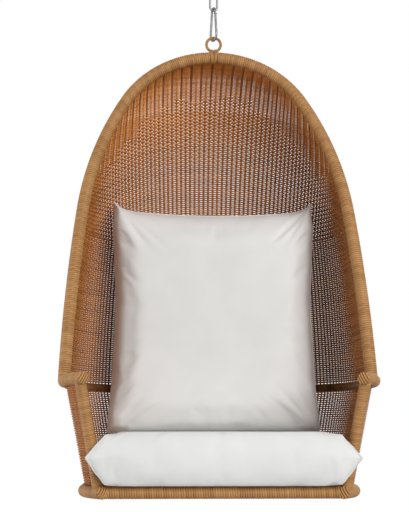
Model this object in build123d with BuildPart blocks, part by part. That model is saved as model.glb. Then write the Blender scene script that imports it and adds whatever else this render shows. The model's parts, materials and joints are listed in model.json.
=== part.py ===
from build123d import *
import os
from math import acos, asin, atan2, cos, degrees, hypot, radians, sin, sqrt

# Hanging wicker chair: a leaning rim hoop stands on a horseshoe arm rail, a woven hood and basket fill
# the back, and the whole chair hangs by a lashed ring, a snap hook and a short chain from the ceiling.
# Origin: centre of the ceiling plate's upper face, on the line of the chain. +X right, +Y back, +Z up.
# Sizes are in millimetres and degrees. Heights are counted up from the centre plane of the seat rail.

os.makedirs("parts", exist_ok=True)

# Clearances
REST_GAP = 0.3          # between a piece and what it rests on or is coped to
WRAP_GAP = 0.1          # between a pole and the peel wound round it
PIN_GAP = 0.05          # radial, between a turning piece and its pin
LINK_GAP = 0.3          # between the wires of two links that hang in each other

# Poles, by radius, and the peel wound round them
RIM_POLE_R = 12.0
RAIL_POLE_R = 11.0
POST_POLE_R = 10.0
SEAT_BAR_R = 8.0
PEEL_T = 2.0
SEAM_TURN = 35.0        # where the seam line of a pole's surface lies, clear of the screws

# Plan of the two rails
SEAT_HALF_WIDTH = 288.0
RIM_FOOT_Y = -190.0     # the rim's feet on the arm rail, where the rails start to toe in
SIDE_LENGTH = 162.0     # straight side, from the rim's foot back to the round back
TOE_RADIUS = 350.0      # bend of the arms towards the front
TOE_SWEEP = 28.0        # turn from the rim's foot to the front post
RAIL_OVERHANG = 15.0    # rail ends in front of the posts
ARM_HEIGHT = 231.0
END_CAP_T = 3.0
END_CAP_TAPER = 25.0

# Rim hoop: three tangent arcs a side, in a plane that leans back
RIM_TOP_HEIGHT = 1014.0
RIM_TOP_RADIUS = 241.0
RIM_TOP_SWEEP = 59.0
RIM_SHOULDER_RADIUS = 720.0
RIM_SHOULDER_SWEEP = 24.0
RIM_SIDE_SWEEP = 5.4
RIM_FOOT_TRIM = 6.0     # the hoop stops this far above the arm rail's centre, then is coped

# Weave and seat
WEAVE_T = 6.0
WALL_INSET = 6.0        # the basket's wall, inside the rails' centre lines
WEAVE_COURSE = 24.0     # a rib in the wall for about five rows of reed
WEAVE_RELIEF = 1.6      # depth of the groove between two ribs
DECK_T = 7.0
SEAT_BAR_FRONT = 86.0   # first bar, behind the front rail
SEAT_BAR_STEP = 160.0

# Ring and lashing at the rim's top
RING_RADIUS = 17.0      # centre line
RING_WIRE_R = 2.7
RING_PEEL_T = 0.8
LASHING_HALF = 10.0
LASHING_T = 2.0
BINDING_TOP_GAP = 1.0   # between the lashing and the rim's binding

# Snap hook
HOOK_WIRE_R = 2.75
HOOK_LENGTH = 80.5      # centre line, end to end
HOOK_WIDE_R = 14.0      # lower bend
HOOK_NARROW_R = 7.5     # upper bend
HOOK_TURN = 64.0        # the hook's plane, turned from face-on
GATE_PIVOT = 8.0        # below the start of the hook's straight side
GATE_LENGTH = 44.0
GATE_NOSE_GAP = 0.4
GATE_SLOT = 2.5
GATE_SLOT_DEPTH = 3.4
TONGUE_T = 2.2
TONGUE_R = 2.6
TONGUE_SHOULDER = 3.8
PIN_R = 1.0
PIN_HEAD_R = 1.8
PIN_HEAD_T = 0.4
SPRING_BORE_R = 1.35
SPRING_WALL = 0.4
SPRING_LENGTH = 8.0
PLUNGER_LENGTH = 4.0

# Chain and ceiling fitting
LINK_WIRE_R = 2.5
LINK_LENGTH = 41.0      # centre line, end to end
LINK_HALF_WIDTH = 8.5   # centre line
LINK_COUNT = 3
EYE_WIRE_R = 4.0
EYE_BEND_R = 14.0
EYE_LEG = 14.0
PLATE_R = 40.0
PLATE_T = 5.0
PLATE_EDGE = 1.0
PLATE_HOLE_R = 3.25
PLATE_PCD = 60.0
PLATE_HOLES = 4

# Wood screws at the frame's corners
SCREW_R = 2.25
SCREW_GAP = 0.1
SCREW_HEAD_R = 4.0
SCREW_HEAD_T = 3.0
SCREW_HEAD_SINK = 1.0   # below the rail pole's surface
SCREW_SIDE_STEP = 6.0   # keeps the front rail's screws clear of the posts' screws
SCREW_REACH = 38.0      # from the rail's centre into the pole that it holds

# Seat cushion
PAD_T = 110.0
PAD_SEAM = 57.0         # knife edge above the cushion's underside
PAD_SIDE_GAP = 6.0      # to the front posts
PAD_BACK_GAP = 8.0      # to the basket, at the round back
PAD_BACK_TURN = 57.0    # where the round back is cut off, from the sides
PAD_EAR = 40.0          # front corners stand out past the posts' inner sides
PAD_EAR_GAP = 4.0       # behind the front corners, to the posts
PAD_EAR_DEPTH = 7.0
PAD_NOSE = 27.0         # front edge, in front of the post
PAD_SHOULDER = 36.0     # from the knife edge in to the flat of the cushion
PAD_CROWN = 14.0
COVER_T = 1.5
FILL_GAP = 0.2

# Back cushion
PILLOW_LOW_Y = 80.0     # seam plane at its foot
PILLOW_HIGH_Y = 104.0   # seam plane at its top
PILLOW_HEIGHT = 545.0
PILLOW_FOOT_HALF = 252.0
PILLOW_WAIST_HALF = 240.0
PILLOW_TOP_HALF = 248.0
PILLOW_BULGE = 88.0     # each face, at its fullest
PILLOW_FOOT_GAP = 0.5   # to the seat cushion's crown


def finish(piece, name):
    """Label a finished piece and write it under its own name"""
    piece.part.label = name
    export_step(piece.part, f"parts/{name}.step")


def drop(radius, start, end):
    """Fall along an arc whose direction turns from start to end, both counted down from level"""
    return radius * (cos(radians(start)) - cos(radians(end)))


def spread(radius, start, end):
    """Sideways run along the same arc"""
    return radius * (sin(radians(end)) - sin(radians(start)))


# Sizes that follow from the driving ones
rim_wrapped_r = RIM_POLE_R + PEEL_T
rail_wrapped_r = RAIL_POLE_R + PEEL_T
post_wrapped_r = POST_POLE_R + PEEL_T
ring_wrapped_r = RING_WIRE_R + RING_PEEL_T

rim_rise = RIM_TOP_HEIGHT - ARM_HEIGHT
rim_slant = hypot(rim_rise, RIM_FOOT_Y)
rim_lean = degrees(atan2(-RIM_FOOT_Y, rim_rise))
shoulder_angle = RIM_TOP_SWEEP + RIM_SHOULDER_SWEEP
foot_angle = shoulder_angle + RIM_SIDE_SWEEP
rim_top_drop = drop(RIM_TOP_RADIUS, 0, RIM_TOP_SWEEP)
rim_shoulder_drop = drop(RIM_SHOULDER_RADIUS, RIM_TOP_SWEEP, shoulder_angle)
rim_side_drop = rim_slant - rim_top_drop - rim_shoulder_drop
rim_side_radius = rim_side_drop / drop(1, shoulder_angle, foot_angle)
rim_top_spread = spread(RIM_TOP_RADIUS, 0, RIM_TOP_SWEEP)
rim_shoulder_spread = spread(RIM_SHOULDER_RADIUS, RIM_TOP_SWEEP, shoulder_angle)
arm_half_width = rim_top_spread + rim_shoulder_spread + spread(rim_side_radius, shoulder_angle, foot_angle)

round_back_y = RIM_FOOT_Y + SIDE_LENGTH
toe_axis_x = arm_half_width - TOE_RADIUS

ring_height = RIM_TOP_HEIGHT + RIM_POLE_R + REST_GAP + ring_wrapped_r + RING_RADIUS
ring_top_wire = ring_height + RING_RADIUS
hook_low_wire = ring_top_wire - ring_wrapped_r - LINK_GAP - HOOK_WIRE_R
hook_high_wire = hook_low_wire + HOOK_LENGTH
first_link_wire = hook_high_wire - HOOK_WIRE_R - LINK_GAP - LINK_WIRE_R
link_pitch = LINK_LENGTH - 2 * LINK_WIRE_R - LINK_GAP
top_link_wire = first_link_wire + (LINK_COUNT - 1) * link_pitch + LINK_LENGTH
eye_wire = top_link_wire - LINK_WIRE_R - LINK_GAP - EYE_WIRE_R
plate_underside = eye_wire + EYE_BEND_R + EYE_LEG
ceiling_height = plate_underside + PLATE_T


def level(height):
    """Z of a height above the seat rail's centre plane"""
    return height - ceiling_height


def wall_half_width(height):
    """Half width of the basket's wall between the two rails"""
    return SEAT_HALF_WIDTH + (arm_half_width - SEAT_HALF_WIDTH) * height / ARM_HEIGHT - WALL_INSET


def across(path):
    """Plane square to the start of a path"""
    return Plane(Plane(origin=path @ 0, z_dir=path % 0).location * Rot(0, 0, SEAM_TURN))


def tube(path, radius, bore=0.0):
    """Round pole, or round sleeve, along a path"""
    with BuildPart() as pole:
        with BuildSketch(across(path)):
            Circle(radius)
            if bore:
                Circle(bore, mode=Mode.SUBTRACT)
        sweep(path=path)
    return pole.part


def sleeve(path, pole_r):
    """Peel wound round a pole"""
    return tube(path, pole_r + PEEL_T, pole_r + WRAP_GAP)


# Centre lines of the rim and the rails
rim_plane = Plane(
    origin=(0, RIM_FOOT_Y, level(ARM_HEIGHT)),
    x_dir=(1, 0, 0),
    z_dir=(0, -cos(radians(rim_lean)), sin(radians(rim_lean))),
)


def rim_line(start_angle, whole):
    """Rim's centre line from an angle off its top down to the right foot, or from foot to foot"""
    start = (spread(RIM_TOP_RADIUS, 0, start_angle), rim_slant - drop(RIM_TOP_RADIUS, 0, start_angle))
    heading = (cos(radians(start_angle)), -sin(radians(start_angle)))
    foot_cosine = cos(radians(foot_angle)) + RIM_FOOT_TRIM / rim_side_radius
    side_sweep = degrees(acos(foot_cosine)) - shoulder_angle
    with BuildLine() as half:
        top = JernArc(start, heading, RIM_TOP_RADIUS, start_angle - RIM_TOP_SWEEP)
        shoulder = JernArc(top @ 1, top % 1, RIM_SHOULDER_RADIUS, -RIM_SHOULDER_SWEEP)
        JernArc(shoulder @ 1, shoulder % 1, rim_side_radius, -side_sweep)
        if whole:
            mirror(about=Plane.YZ)
    return rim_plane.from_local_coords(half.wires()[0])


def toe_radius(half_width):
    """Radius of a rail's toe-in; both rails turn about the same upright axis"""
    return half_width - toe_axis_x


def toe_point(half_width, height):
    """Where the front post meets a rail's centre line"""
    radius = toe_radius(half_width)
    x = toe_axis_x + radius * cos(radians(TOE_SWEEP))
    y = RIM_FOOT_Y - radius * sin(radians(TOE_SWEEP))
    return Vector(x, y, level(height))


def rail_line(half_width, height, overhang=RAIL_OVERHANG):
    """Horseshoe centre line of a rail, from one front end round the back to the other"""
    radius = toe_radius(half_width)
    sweep_to_end = TOE_SWEEP + degrees(overhang / radius)
    with BuildLine() as horseshoe:
        CenterArc((0, round_back_y), half_width, 0, 180)
        for side in (1, -1):
            Line((side * half_width, round_back_y), (side * half_width, RIM_FOOT_Y))
        CenterArc((toe_axis_x, RIM_FOOT_Y), radius, 0, -sweep_to_end)
        CenterArc((-toe_axis_x, RIM_FOOT_Y), radius, 180, sweep_to_end)
    return Plane.XY.offset(level(height)).from_local_coords(horseshoe.wires()[0])


def rail_half_width_at(y):
    """Half width of the seat rail's centre line at a place along Y"""
    if y > round_back_y:
        return sqrt(SEAT_HALF_WIDTH**2 - (y - round_back_y) ** 2)
    if y < RIM_FOOT_Y:
        return toe_axis_x + sqrt(toe_radius(SEAT_HALF_WIDTH) ** 2 - (y - RIM_FOOT_Y) ** 2)
    return SEAT_HALF_WIDTH


arm_line = rail_line(arm_half_width, ARM_HEIGHT)
seat_line = rail_line(SEAT_HALF_WIDTH, 0)
hoop_line = rim_line(0, whole=True)
half_hoop_line = rim_line(degrees(asin((LASHING_HALF + BINDING_TOP_GAP) / RIM_TOP_RADIUS)), whole=False)

arm_sweep = TOE_SWEEP + degrees(RAIL_OVERHANG / TOE_RADIUS)
with BuildLine() as arm_plan:
    CenterArc((toe_axis_x, RIM_FOOT_Y), TOE_RADIUS, 0, -arm_sweep)
    Line((arm_half_width, RIM_FOOT_Y), (arm_half_width, RIM_FOOT_Y + rim_wrapped_r))
arm_front_line = Plane.XY.offset(level(ARM_HEIGHT)).from_local_coords(arm_plan.wires()[0])

post_foot = toe_point(SEAT_HALF_WIDTH, 0)
post_head = toe_point(arm_half_width, ARM_HEIGHT)
post_line = Wire([Edge.make_line(post_foot, post_head)])
front_rail_line = Wire([Edge.make_line((-post_foot.X, post_foot.Y, post_foot.Z), post_foot)])

# Room that coped ends leave round the wrapped, capped rails and the posts
capped_overhang = RAIL_OVERHANG + END_CAP_T + REST_GAP
arm_envelope = tube(rail_line(arm_half_width, ARM_HEIGHT, capped_overhang), rail_wrapped_r + REST_GAP)
seat_envelope = tube(rail_line(SEAT_HALF_WIDTH, 0, capped_overhang), rail_wrapped_r + REST_GAP)
post_envelope = tube(post_line, post_wrapped_r + REST_GAP)

# Screw places: each starts on a rail's centre line and points into the pole that it holds
rim_foot_dir = Vector(0, sin(radians(rim_lean)), cos(radians(rim_lean)))
post_dir = (post_head - post_foot).normalized()
right_screws = {
    "arm": [
        Plane(origin=(arm_half_width, RIM_FOOT_Y, level(ARM_HEIGHT)), z_dir=rim_foot_dir),
        Plane(origin=post_head, z_dir=-post_dir),
    ],
    "seat": [
        Plane(origin=post_foot, z_dir=post_dir),
        Plane(origin=post_foot + Vector(0, SCREW_SIDE_STEP, 0), z_dir=(-1, 0, 0)),
    ],
}


def mirrored(plane):
    """The same screw place on the left side"""
    origin = (-plane.origin.X, plane.origin.Y, plane.origin.Z)
    return Plane(origin=origin, z_dir=(-plane.z_dir.X, plane.z_dir.Y, plane.z_dir.Z))


screws = {rail: planes + [mirrored(plane) for plane in planes] for rail, planes in right_screws.items()}
all_screws = screws["arm"] + screws["seat"]


def drill_shank(planes):
    """Cut the screws' clearance holes, from the rail pole's far side to the screws' points"""
    with Locations(*[plane.offset(-RAIL_POLE_R) for plane in planes]):
        Cylinder(
            SCREW_R + SCREW_GAP,
            RAIL_POLE_R + SCREW_REACH + SCREW_GAP,
            align=(Align.CENTER, Align.CENTER, Align.MIN),
            mode=Mode.SUBTRACT,
        )


def drill_head(planes):
    """Cut the recesses that sink the screws' heads into the rail pole"""
    with Locations(*[plane.offset(SCREW_HEAD_SINK + SCREW_HEAD_T - RAIL_POLE_R) for plane in planes]):
        Cylinder(
            SCREW_HEAD_R + SCREW_GAP,
            2 * SCREW_HEAD_SINK + SCREW_HEAD_T,
            align=(Align.CENTER, Align.CENTER, Align.MAX),
            mode=Mode.SUBTRACT,
        )


# Ceiling plate and its welded eye
with BuildPart() as ceiling_plate:
    Cylinder(PLATE_R, PLATE_T, align=(Align.CENTER, Align.CENTER, Align.MAX))
    fillet(ceiling_plate.edges().group_by(Axis.Z)[0], PLATE_EDGE)
    with PolarLocations(PLATE_PCD / 2, PLATE_HOLES, start_angle=180 / PLATE_HOLES):
        Hole(PLATE_HOLE_R)
finish(ceiling_plate, "ceiling_plate")

with BuildLine() as eye_side:
    Line((-EYE_BEND_R, level(plate_underside)), (-EYE_BEND_R, level(eye_wire + EYE_BEND_R)))
    CenterArc((0, level(eye_wire + EYE_BEND_R)), EYE_BEND_R, 180, 180)
    Line((EYE_BEND_R, level(eye_wire + EYE_BEND_R)), (EYE_BEND_R, level(plate_underside)))
eye_line = Plane.YZ.from_local_coords(eye_side.wires()[0])
with BuildPart() as ceiling_eye:
    add(tube(eye_line, EYE_WIRE_R))
finish(ceiling_eye, "ceiling_eye")

# Chain links, each turned a quarter from the next
link_bend = LINK_LENGTH - 2 * LINK_HALF_WIDTH
with BuildLine() as link_side:
    Line((LINK_HALF_WIDTH, LINK_HALF_WIDTH), (LINK_HALF_WIDTH, LINK_HALF_WIDTH + link_bend))
    CenterArc((0, LINK_HALF_WIDTH + link_bend), LINK_HALF_WIDTH, 0, 180)
    Line((-LINK_HALF_WIDTH, LINK_HALF_WIDTH + link_bend), (-LINK_HALF_WIDTH, LINK_HALF_WIDTH))
    CenterArc((0, LINK_HALF_WIDTH), LINK_HALF_WIDTH, 180, 180)
link_names = ("chain_link_lower", "chain_link_middle", "chain_link_top")
for index, name in enumerate(link_names):
    face_on = index % 2 == 0
    link_plane = Plane(
        origin=(0, 0, level(first_link_wire + index * link_pitch)),
        x_dir=(1, 0, 0) if face_on else (0, 1, 0),
        z_dir=(0, -1, 0) if face_on else (1, 0, 0),
    )
    link_line = link_plane.from_local_coords(link_side.wires()[0])
    with BuildPart() as chain_link:
        add(tube(link_line, LINK_WIRE_R))
    finish(chain_link, name)

# Snap hook: bent wire with a tongue for the gate's hinge
hook_plane = Plane(
    origin=(0, 0, level(hook_low_wire)),
    x_dir=(cos(radians(HOOK_TURN)), -sin(radians(HOOK_TURN)), 0),
    z_dir=(-sin(radians(HOOK_TURN)), -cos(radians(HOOK_TURN)), 0),
)
hook_narrow_w = HOOK_LENGTH - HOOK_NARROW_R
hook_taper = asin((HOOK_WIDE_R - HOOK_NARROW_R) / (hook_narrow_w - HOOK_WIDE_R))
taper_deg = degrees(hook_taper)
side_top = Vector(HOOK_NARROW_R * cos(hook_taper), hook_narrow_w + HOOK_NARROW_R * sin(hook_taper))
side_low = Vector(HOOK_WIDE_R * cos(hook_taper), HOOK_WIDE_R + HOOK_WIDE_R * sin(hook_taper))
side_dir = (side_low - side_top).normalized()
gate_pivot = side_top + side_dir * GATE_PIVOT
nose_tip = gate_pivot + side_dir * (GATE_LENGTH + GATE_NOSE_GAP)
with BuildLine() as hook_side:
    Line(gate_pivot, side_top)
    CenterArc((0, hook_narrow_w), HOOK_NARROW_R, taper_deg, 180 - 2 * taper_deg)
    Line((-side_top.X, side_top.Y), (-side_low.X, side_low.Y))
    CenterArc((0, HOOK_WIDE_R), HOOK_WIDE_R, 180 - taper_deg, 180 + 2 * taper_deg)
    Line(side_low, nose_tip)
hook_line = hook_plane.from_local_coords(hook_side.wires()[0])
gate_dir = hook_plane.from_local_coords(side_top + side_dir) - hook_plane.from_local_coords(side_top)
hinge_plane = Plane(
    origin=hook_plane.from_local_coords(gate_pivot),
    x_dir=gate_dir,
    z_dir=hook_plane.z_dir,
)
gate_plane = Plane(origin=hinge_plane.origin, x_dir=hook_plane.z_dir, z_dir=gate_dir)

with BuildPart() as carabiner_hook:
    add(tube(hook_line, HOOK_WIRE_R))
    for side, outward in ((1, Align.MIN), (-1, Align.MAX)):
        with Locations(hinge_plane.location * Pos(-TONGUE_SHOULDER, 0, side * TONGUE_T / 2)):
            Box(
                TONGUE_SHOULDER + TONGUE_R,
                4 * HOOK_WIRE_R,
                HOOK_WIRE_R,
                align=(Align.MIN, Align.CENTER, outward),
                mode=Mode.SUBTRACT,
            )
    with Locations(hinge_plane):
        Cylinder(TONGUE_R, TONGUE_T)
        Cylinder(PIN_R + PIN_GAP, 2 * TONGUE_T, mode=Mode.SUBTRACT)
finish(carabiner_hook, "carabiner_hook")

# Gate: forked over the tongue, bored for its spring and plunger
plunger_start = TONGUE_R + PIN_GAP
spring_start = plunger_start + PLUNGER_LENGTH
with BuildPart() as carabiner_gate:
    with BuildSketch(gate_plane):
        Circle(HOOK_WIRE_R)
    extrude(amount=GATE_LENGTH)
    with Locations(hinge_plane):
        Sphere(HOOK_WIRE_R)
    with Locations(hinge_plane.location * Pos(GATE_SLOT_DEPTH, 0, 0)):
        Box(
            GATE_SLOT_DEPTH + 2 * HOOK_WIRE_R,
            4 * HOOK_WIRE_R,
            GATE_SLOT,
            align=(Align.MAX, Align.CENTER, Align.CENTER),
            mode=Mode.SUBTRACT,
        )
    with Locations(hinge_plane):
        Cylinder(PIN_R + PIN_GAP, 4 * HOOK_WIRE_R, mode=Mode.SUBTRACT)
    with BuildSketch(gate_plane.offset(plunger_start)):
        Circle(SPRING_BORE_R)
    extrude(amount=PLUNGER_LENGTH + SPRING_LENGTH, mode=Mode.SUBTRACT)
finish(carabiner_gate, "carabiner_gate")

with BuildPart() as gate_plunger:
    with BuildSketch(gate_plane.offset(plunger_start)):
        Circle(SPRING_BORE_R - PIN_GAP)
    extrude(amount=PLUNGER_LENGTH)
finish(gate_plunger, "gate_plunger")

with BuildPart() as gate_spring:
    with BuildSketch(gate_plane.offset(spring_start)):
        Circle(SPRING_BORE_R - PIN_GAP)
        Circle(SPRING_BORE_R - PIN_GAP - SPRING_WALL, mode=Mode.SUBTRACT)
    extrude(amount=SPRING_LENGTH)
finish(gate_spring, "gate_spring")

with BuildPart() as gate_pin:
    with Locations(hinge_plane):
        Cylinder(PIN_R, 2 * (HOOK_WIRE_R + PIN_GAP + PIN_HEAD_T))
    for side, outward in ((1, Align.MIN), (-1, Align.MAX)):
        with Locations(hinge_plane.location * Pos(0, 0, side * (HOOK_WIRE_R + PIN_GAP))):
            Cylinder(PIN_HEAD_R, PIN_HEAD_T, align=(Align.CENTER, Align.CENTER, outward))
finish(gate_pin, "gate_pin")


# Hanging ring, its peel and the lashing that ties it on the rim's top
def torus(radius, bore=0.0):
    """Ring of round section on the hanging ring's centre line"""
    with BuildPart() as ring:
        with BuildSketch(Plane.XY.offset(level(ring_height))):
            with Locations((RING_RADIUS, 0)):
                Circle(radius)
                if bore:
                    Circle(bore, mode=Mode.SUBTRACT)
        revolve(axis=Axis((0, 0, level(ring_height)), (0, 1, 0)))
    return ring.part


with BuildPart() as hanging_ring:
    add(torus(RING_WIRE_R))
finish(hanging_ring, "hanging_ring")

with BuildPart() as ring_binding:
    add(torus(ring_wrapped_r, RING_WIRE_R + WRAP_GAP))
finish(ring_binding, "ring_binding")

ring_low_wire = ring_height - RING_RADIUS
with BuildPart() as ring_lashing:
    with BuildSketch(Plane.YZ):
        with Locations((0, level(RIM_TOP_HEIGHT))):
            Circle(RIM_POLE_R + LASHING_T)
        with Locations((0, level(ring_low_wire))):
            Circle(ring_wrapped_r + LASHING_T)
            Rectangle(
                2 * (ring_wrapped_r + LASHING_T),
                ring_low_wire - RIM_TOP_HEIGHT,
                align=(Align.CENTER, Align.MAX),
            )
    extrude(amount=LASHING_HALF, both=True)
    add(tube(hoop_line, RIM_POLE_R + WRAP_GAP), mode=Mode.SUBTRACT)
    add(torus(ring_wrapped_r + WRAP_GAP), mode=Mode.SUBTRACT)
finish(ring_lashing, "ring_lashing")

# Rim hoop and its binding
with BuildPart() as rim_hoop:
    add(tube(hoop_line, RIM_POLE_R))
    add(arm_envelope, mode=Mode.SUBTRACT)
    drill_shank(screws["arm"])
finish(rim_hoop, "rim_hoop")

with BuildPart() as rim_binding_right:
    add(sleeve(half_hoop_line, RIM_POLE_R))
    add(arm_envelope, mode=Mode.SUBTRACT)
finish(rim_binding_right, "rim_binding_right")

with BuildPart() as rim_binding_left:
    mirror(rim_binding_right.part, about=Plane.YZ)
finish(rim_binding_left, "rim_binding_left")

# Arm rail, bare round the back, and the bindings of its two arms
with BuildPart() as arm_rail:
    add(tube(arm_line, RAIL_POLE_R))
    drill_shank(screws["arm"])
    drill_head(screws["arm"])
finish(arm_rail, "arm_rail")

with BuildPart() as arm_binding_right:
    add(sleeve(arm_front_line, RAIL_POLE_R))
    drill_shank(screws["arm"])
finish(arm_binding_right, "arm_binding_right")

with BuildPart() as arm_binding_left:
    mirror(arm_binding_right.part, about=Plane.YZ)
finish(arm_binding_left, "arm_binding_left")

# Front posts and their bindings
with BuildPart() as front_post_right:
    add(tube(post_line, POST_POLE_R))
    add(arm_envelope, mode=Mode.SUBTRACT)
    add(seat_envelope, mode=Mode.SUBTRACT)
    drill_shank(right_screws["arm"])
    drill_shank(right_screws["seat"])
finish(front_post_right, "front_post_right")

with BuildPart() as front_post_left:
    mirror(front_post_right.part, about=Plane.YZ)
finish(front_post_left, "front_post_left")

with BuildPart() as post_binding_right:
    add(sleeve(post_line, POST_POLE_R))
    add(arm_envelope, mode=Mode.SUBTRACT)
    add(seat_envelope, mode=Mode.SUBTRACT)
finish(post_binding_right, "post_binding_right")

with BuildPart() as post_binding_left:
    mirror(post_binding_right.part, about=Plane.YZ)
finish(post_binding_left, "post_binding_left")

# Seat rail, its binding, and the front rail between its ends
with BuildPart() as seat_rail:
    add(tube(seat_line, RAIL_POLE_R))
    drill_shank(screws["seat"])
    drill_head(screws["seat"])
finish(seat_rail, "seat_rail")

with BuildPart() as seat_rail_binding:
    add(sleeve(seat_line, RAIL_POLE_R))
    drill_shank(screws["seat"])
finish(seat_rail_binding, "seat_rail_binding")


def cope_front_rail():
    """Shape the front rail's ends to the seat rail and to the posts' feet"""
    add(seat_envelope, mode=Mode.SUBTRACT)
    add(post_envelope, mode=Mode.SUBTRACT)
    add(mirror(post_envelope, about=Plane.YZ, mode=Mode.PRIVATE), mode=Mode.SUBTRACT)


with BuildPart() as seat_front_rail:
    add(tube(front_rail_line, RAIL_POLE_R))
    cope_front_rail()
    drill_shank(screws["seat"])
finish(seat_front_rail, "seat_front_rail")

with BuildPart() as front_rail_binding:
    add(sleeve(front_rail_line, RAIL_POLE_R))
    cope_front_rail()
finish(front_rail_binding, "front_rail_binding")

# Plaited caps on the four rail ends
with BuildPart() as rail_end_caps:
    for line in (arm_line, seat_line):
        for end, outward in ((0, -1), (1, 1)):
            with BuildSketch(Plane(origin=line @ end, z_dir=(line % end) * outward)):
                Circle(rail_wrapped_r)
            extrude(amount=END_CAP_T, taper=END_CAP_TAPER)
finish(rail_end_caps, "rail_end_caps")

# Seat bars and the woven deck on them
deck_bottom = rail_wrapped_r - DECK_T
bar_height = deck_bottom - REST_GAP - SEAT_BAR_R
bar_names = ("seat_bar_front", "seat_bar_middle", "seat_bar_back")
for index, name in enumerate(bar_names):
    y = post_foot.Y + SEAT_BAR_FRONT + index * SEAT_BAR_STEP
    half = rail_half_width_at(y)
    bar_line = Wire([Edge.make_line((-half, y, level(bar_height)), (half, y, level(bar_height)))])
    with BuildPart() as seat_bar:
        add(tube(bar_line, SEAT_BAR_R))
        add(seat_envelope, mode=Mode.SUBTRACT)
    finish(seat_bar, name)

deck_inset = sqrt(rail_wrapped_r**2 - deck_bottom**2) + REST_GAP
deck_half = SEAT_HALF_WIDTH - deck_inset
deck_toe_radius = toe_radius(deck_half)
deck_front_y = post_foot.Y + deck_inset
deck_toe_sweep = degrees(asin((RIM_FOOT_Y - deck_front_y) / deck_toe_radius))
deck_front_x = toe_axis_x + deck_toe_radius * cos(radians(deck_toe_sweep))
with BuildPart() as seat_deck:
    with BuildSketch(Plane.XY.offset(level(deck_bottom))):
        with BuildLine():
            CenterArc((0, round_back_y), deck_half, 0, 180)
            for side in (1, -1):
                Line((side * deck_half, round_back_y), (side * deck_half, RIM_FOOT_Y))
            CenterArc((toe_axis_x, RIM_FOOT_Y), deck_toe_radius, 0, -deck_toe_sweep)
            CenterArc((-toe_axis_x, RIM_FOOT_Y), deck_toe_radius, 180, deck_toe_sweep)
            Line((deck_front_x, deck_front_y), (-deck_front_x, deck_front_y))
        make_face()
    extrude(amount=DECK_T)
finish(seat_deck, "seat_deck")

# Woven hood: the rim's outline runs straight back, then turns about an upright axis
back_plane = Plane(origin=(0, round_back_y, 0), x_dir=(1, 0, 0), z_dir=(0, -1, 0))
back_axis = Axis((0, round_back_y, 0), (0, 0, 1))
upright = cos(radians(rim_lean))
hood_joins = [
    Vector(0, RIM_TOP_HEIGHT),
    Vector(rim_top_spread, RIM_TOP_HEIGHT - rim_top_drop * upright),
    Vector(
        rim_top_spread + rim_shoulder_spread,
        RIM_TOP_HEIGHT - (rim_top_drop + rim_shoulder_drop) * upright,
    ),
    Vector(arm_half_width, ARM_HEIGHT),
]


def hood_arcs():
    """Radius and turn of each tangent arc through the joins, from the top down"""
    heading = 0.0
    arcs = []
    for start, end in zip(hood_joins, hood_joins[1:]):
        chord = end - start
        half_turn = degrees(atan2(-chord.Y, chord.X)) - heading
        arcs.append((chord.length / (2 * sin(radians(half_turn))), 2 * half_turn))
        heading += 2 * half_turn
    return arcs


def course_offsets(count):
    """Half thickness of a woven wall at each rib and in each groove between the ribs"""
    return [WEAVE_T / 2 - WEAVE_RELIEF * (step % 2) for step in range(2 * count + 1)]


def hood_sides():
    """Outer and inner line of the hood's wall from the top down, ribbed by its courses"""
    spot = Vector(0, level(RIM_TOP_HEIGHT))
    heading = Vector(1, 0)
    outer, inner = [], []
    for radius, turn in hood_arcs():
        arc = JernArc(spot, heading, radius, -turn, mode=Mode.PRIVATE)
        offsets = course_offsets(max(1, round(arc.length / WEAVE_COURSE)))
        first = 1 if outer else 0
        for step in range(first, len(offsets)):
            share = step / (len(offsets) - 1)
            along = arc % share
            outward = Vector(-along.Y, along.X) * offsets[step]
            outer.append(arc @ share + outward)
            inner.append(arc @ share - outward)
        spot, heading = arc @ 1, arc % 1
    return outer, inner


def hood_face(whole):
    """Section of the hood's wall through its axis: the right half, or the whole arch"""
    outer, inner = hood_sides()
    with BuildSketch() as section:
        with BuildLine():
            Polyline(*outer, *reversed(inner), close=True)
        make_face()
        if whole:
            mirror(about=Plane.YZ)
    return back_plane.from_local_coords(section.sketch)


hood_edge_plane = rim_plane.offset(-rim_wrapped_r - REST_GAP)
with BuildPart() as woven_hood:
    revolve(hood_face(whole=False), axis=back_axis, revolution_arc=180)
    extrude(hood_face(whole=True), amount=SIDE_LENGTH)
    split(bisect_by=hood_edge_plane, keep=Keep.BOTTOM)
    split(bisect_by=Plane.XY.offset(level(ARM_HEIGHT + RAIL_POLE_R + REST_GAP)), keep=Keep.TOP)
finish(woven_hood, "woven_hood")

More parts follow.
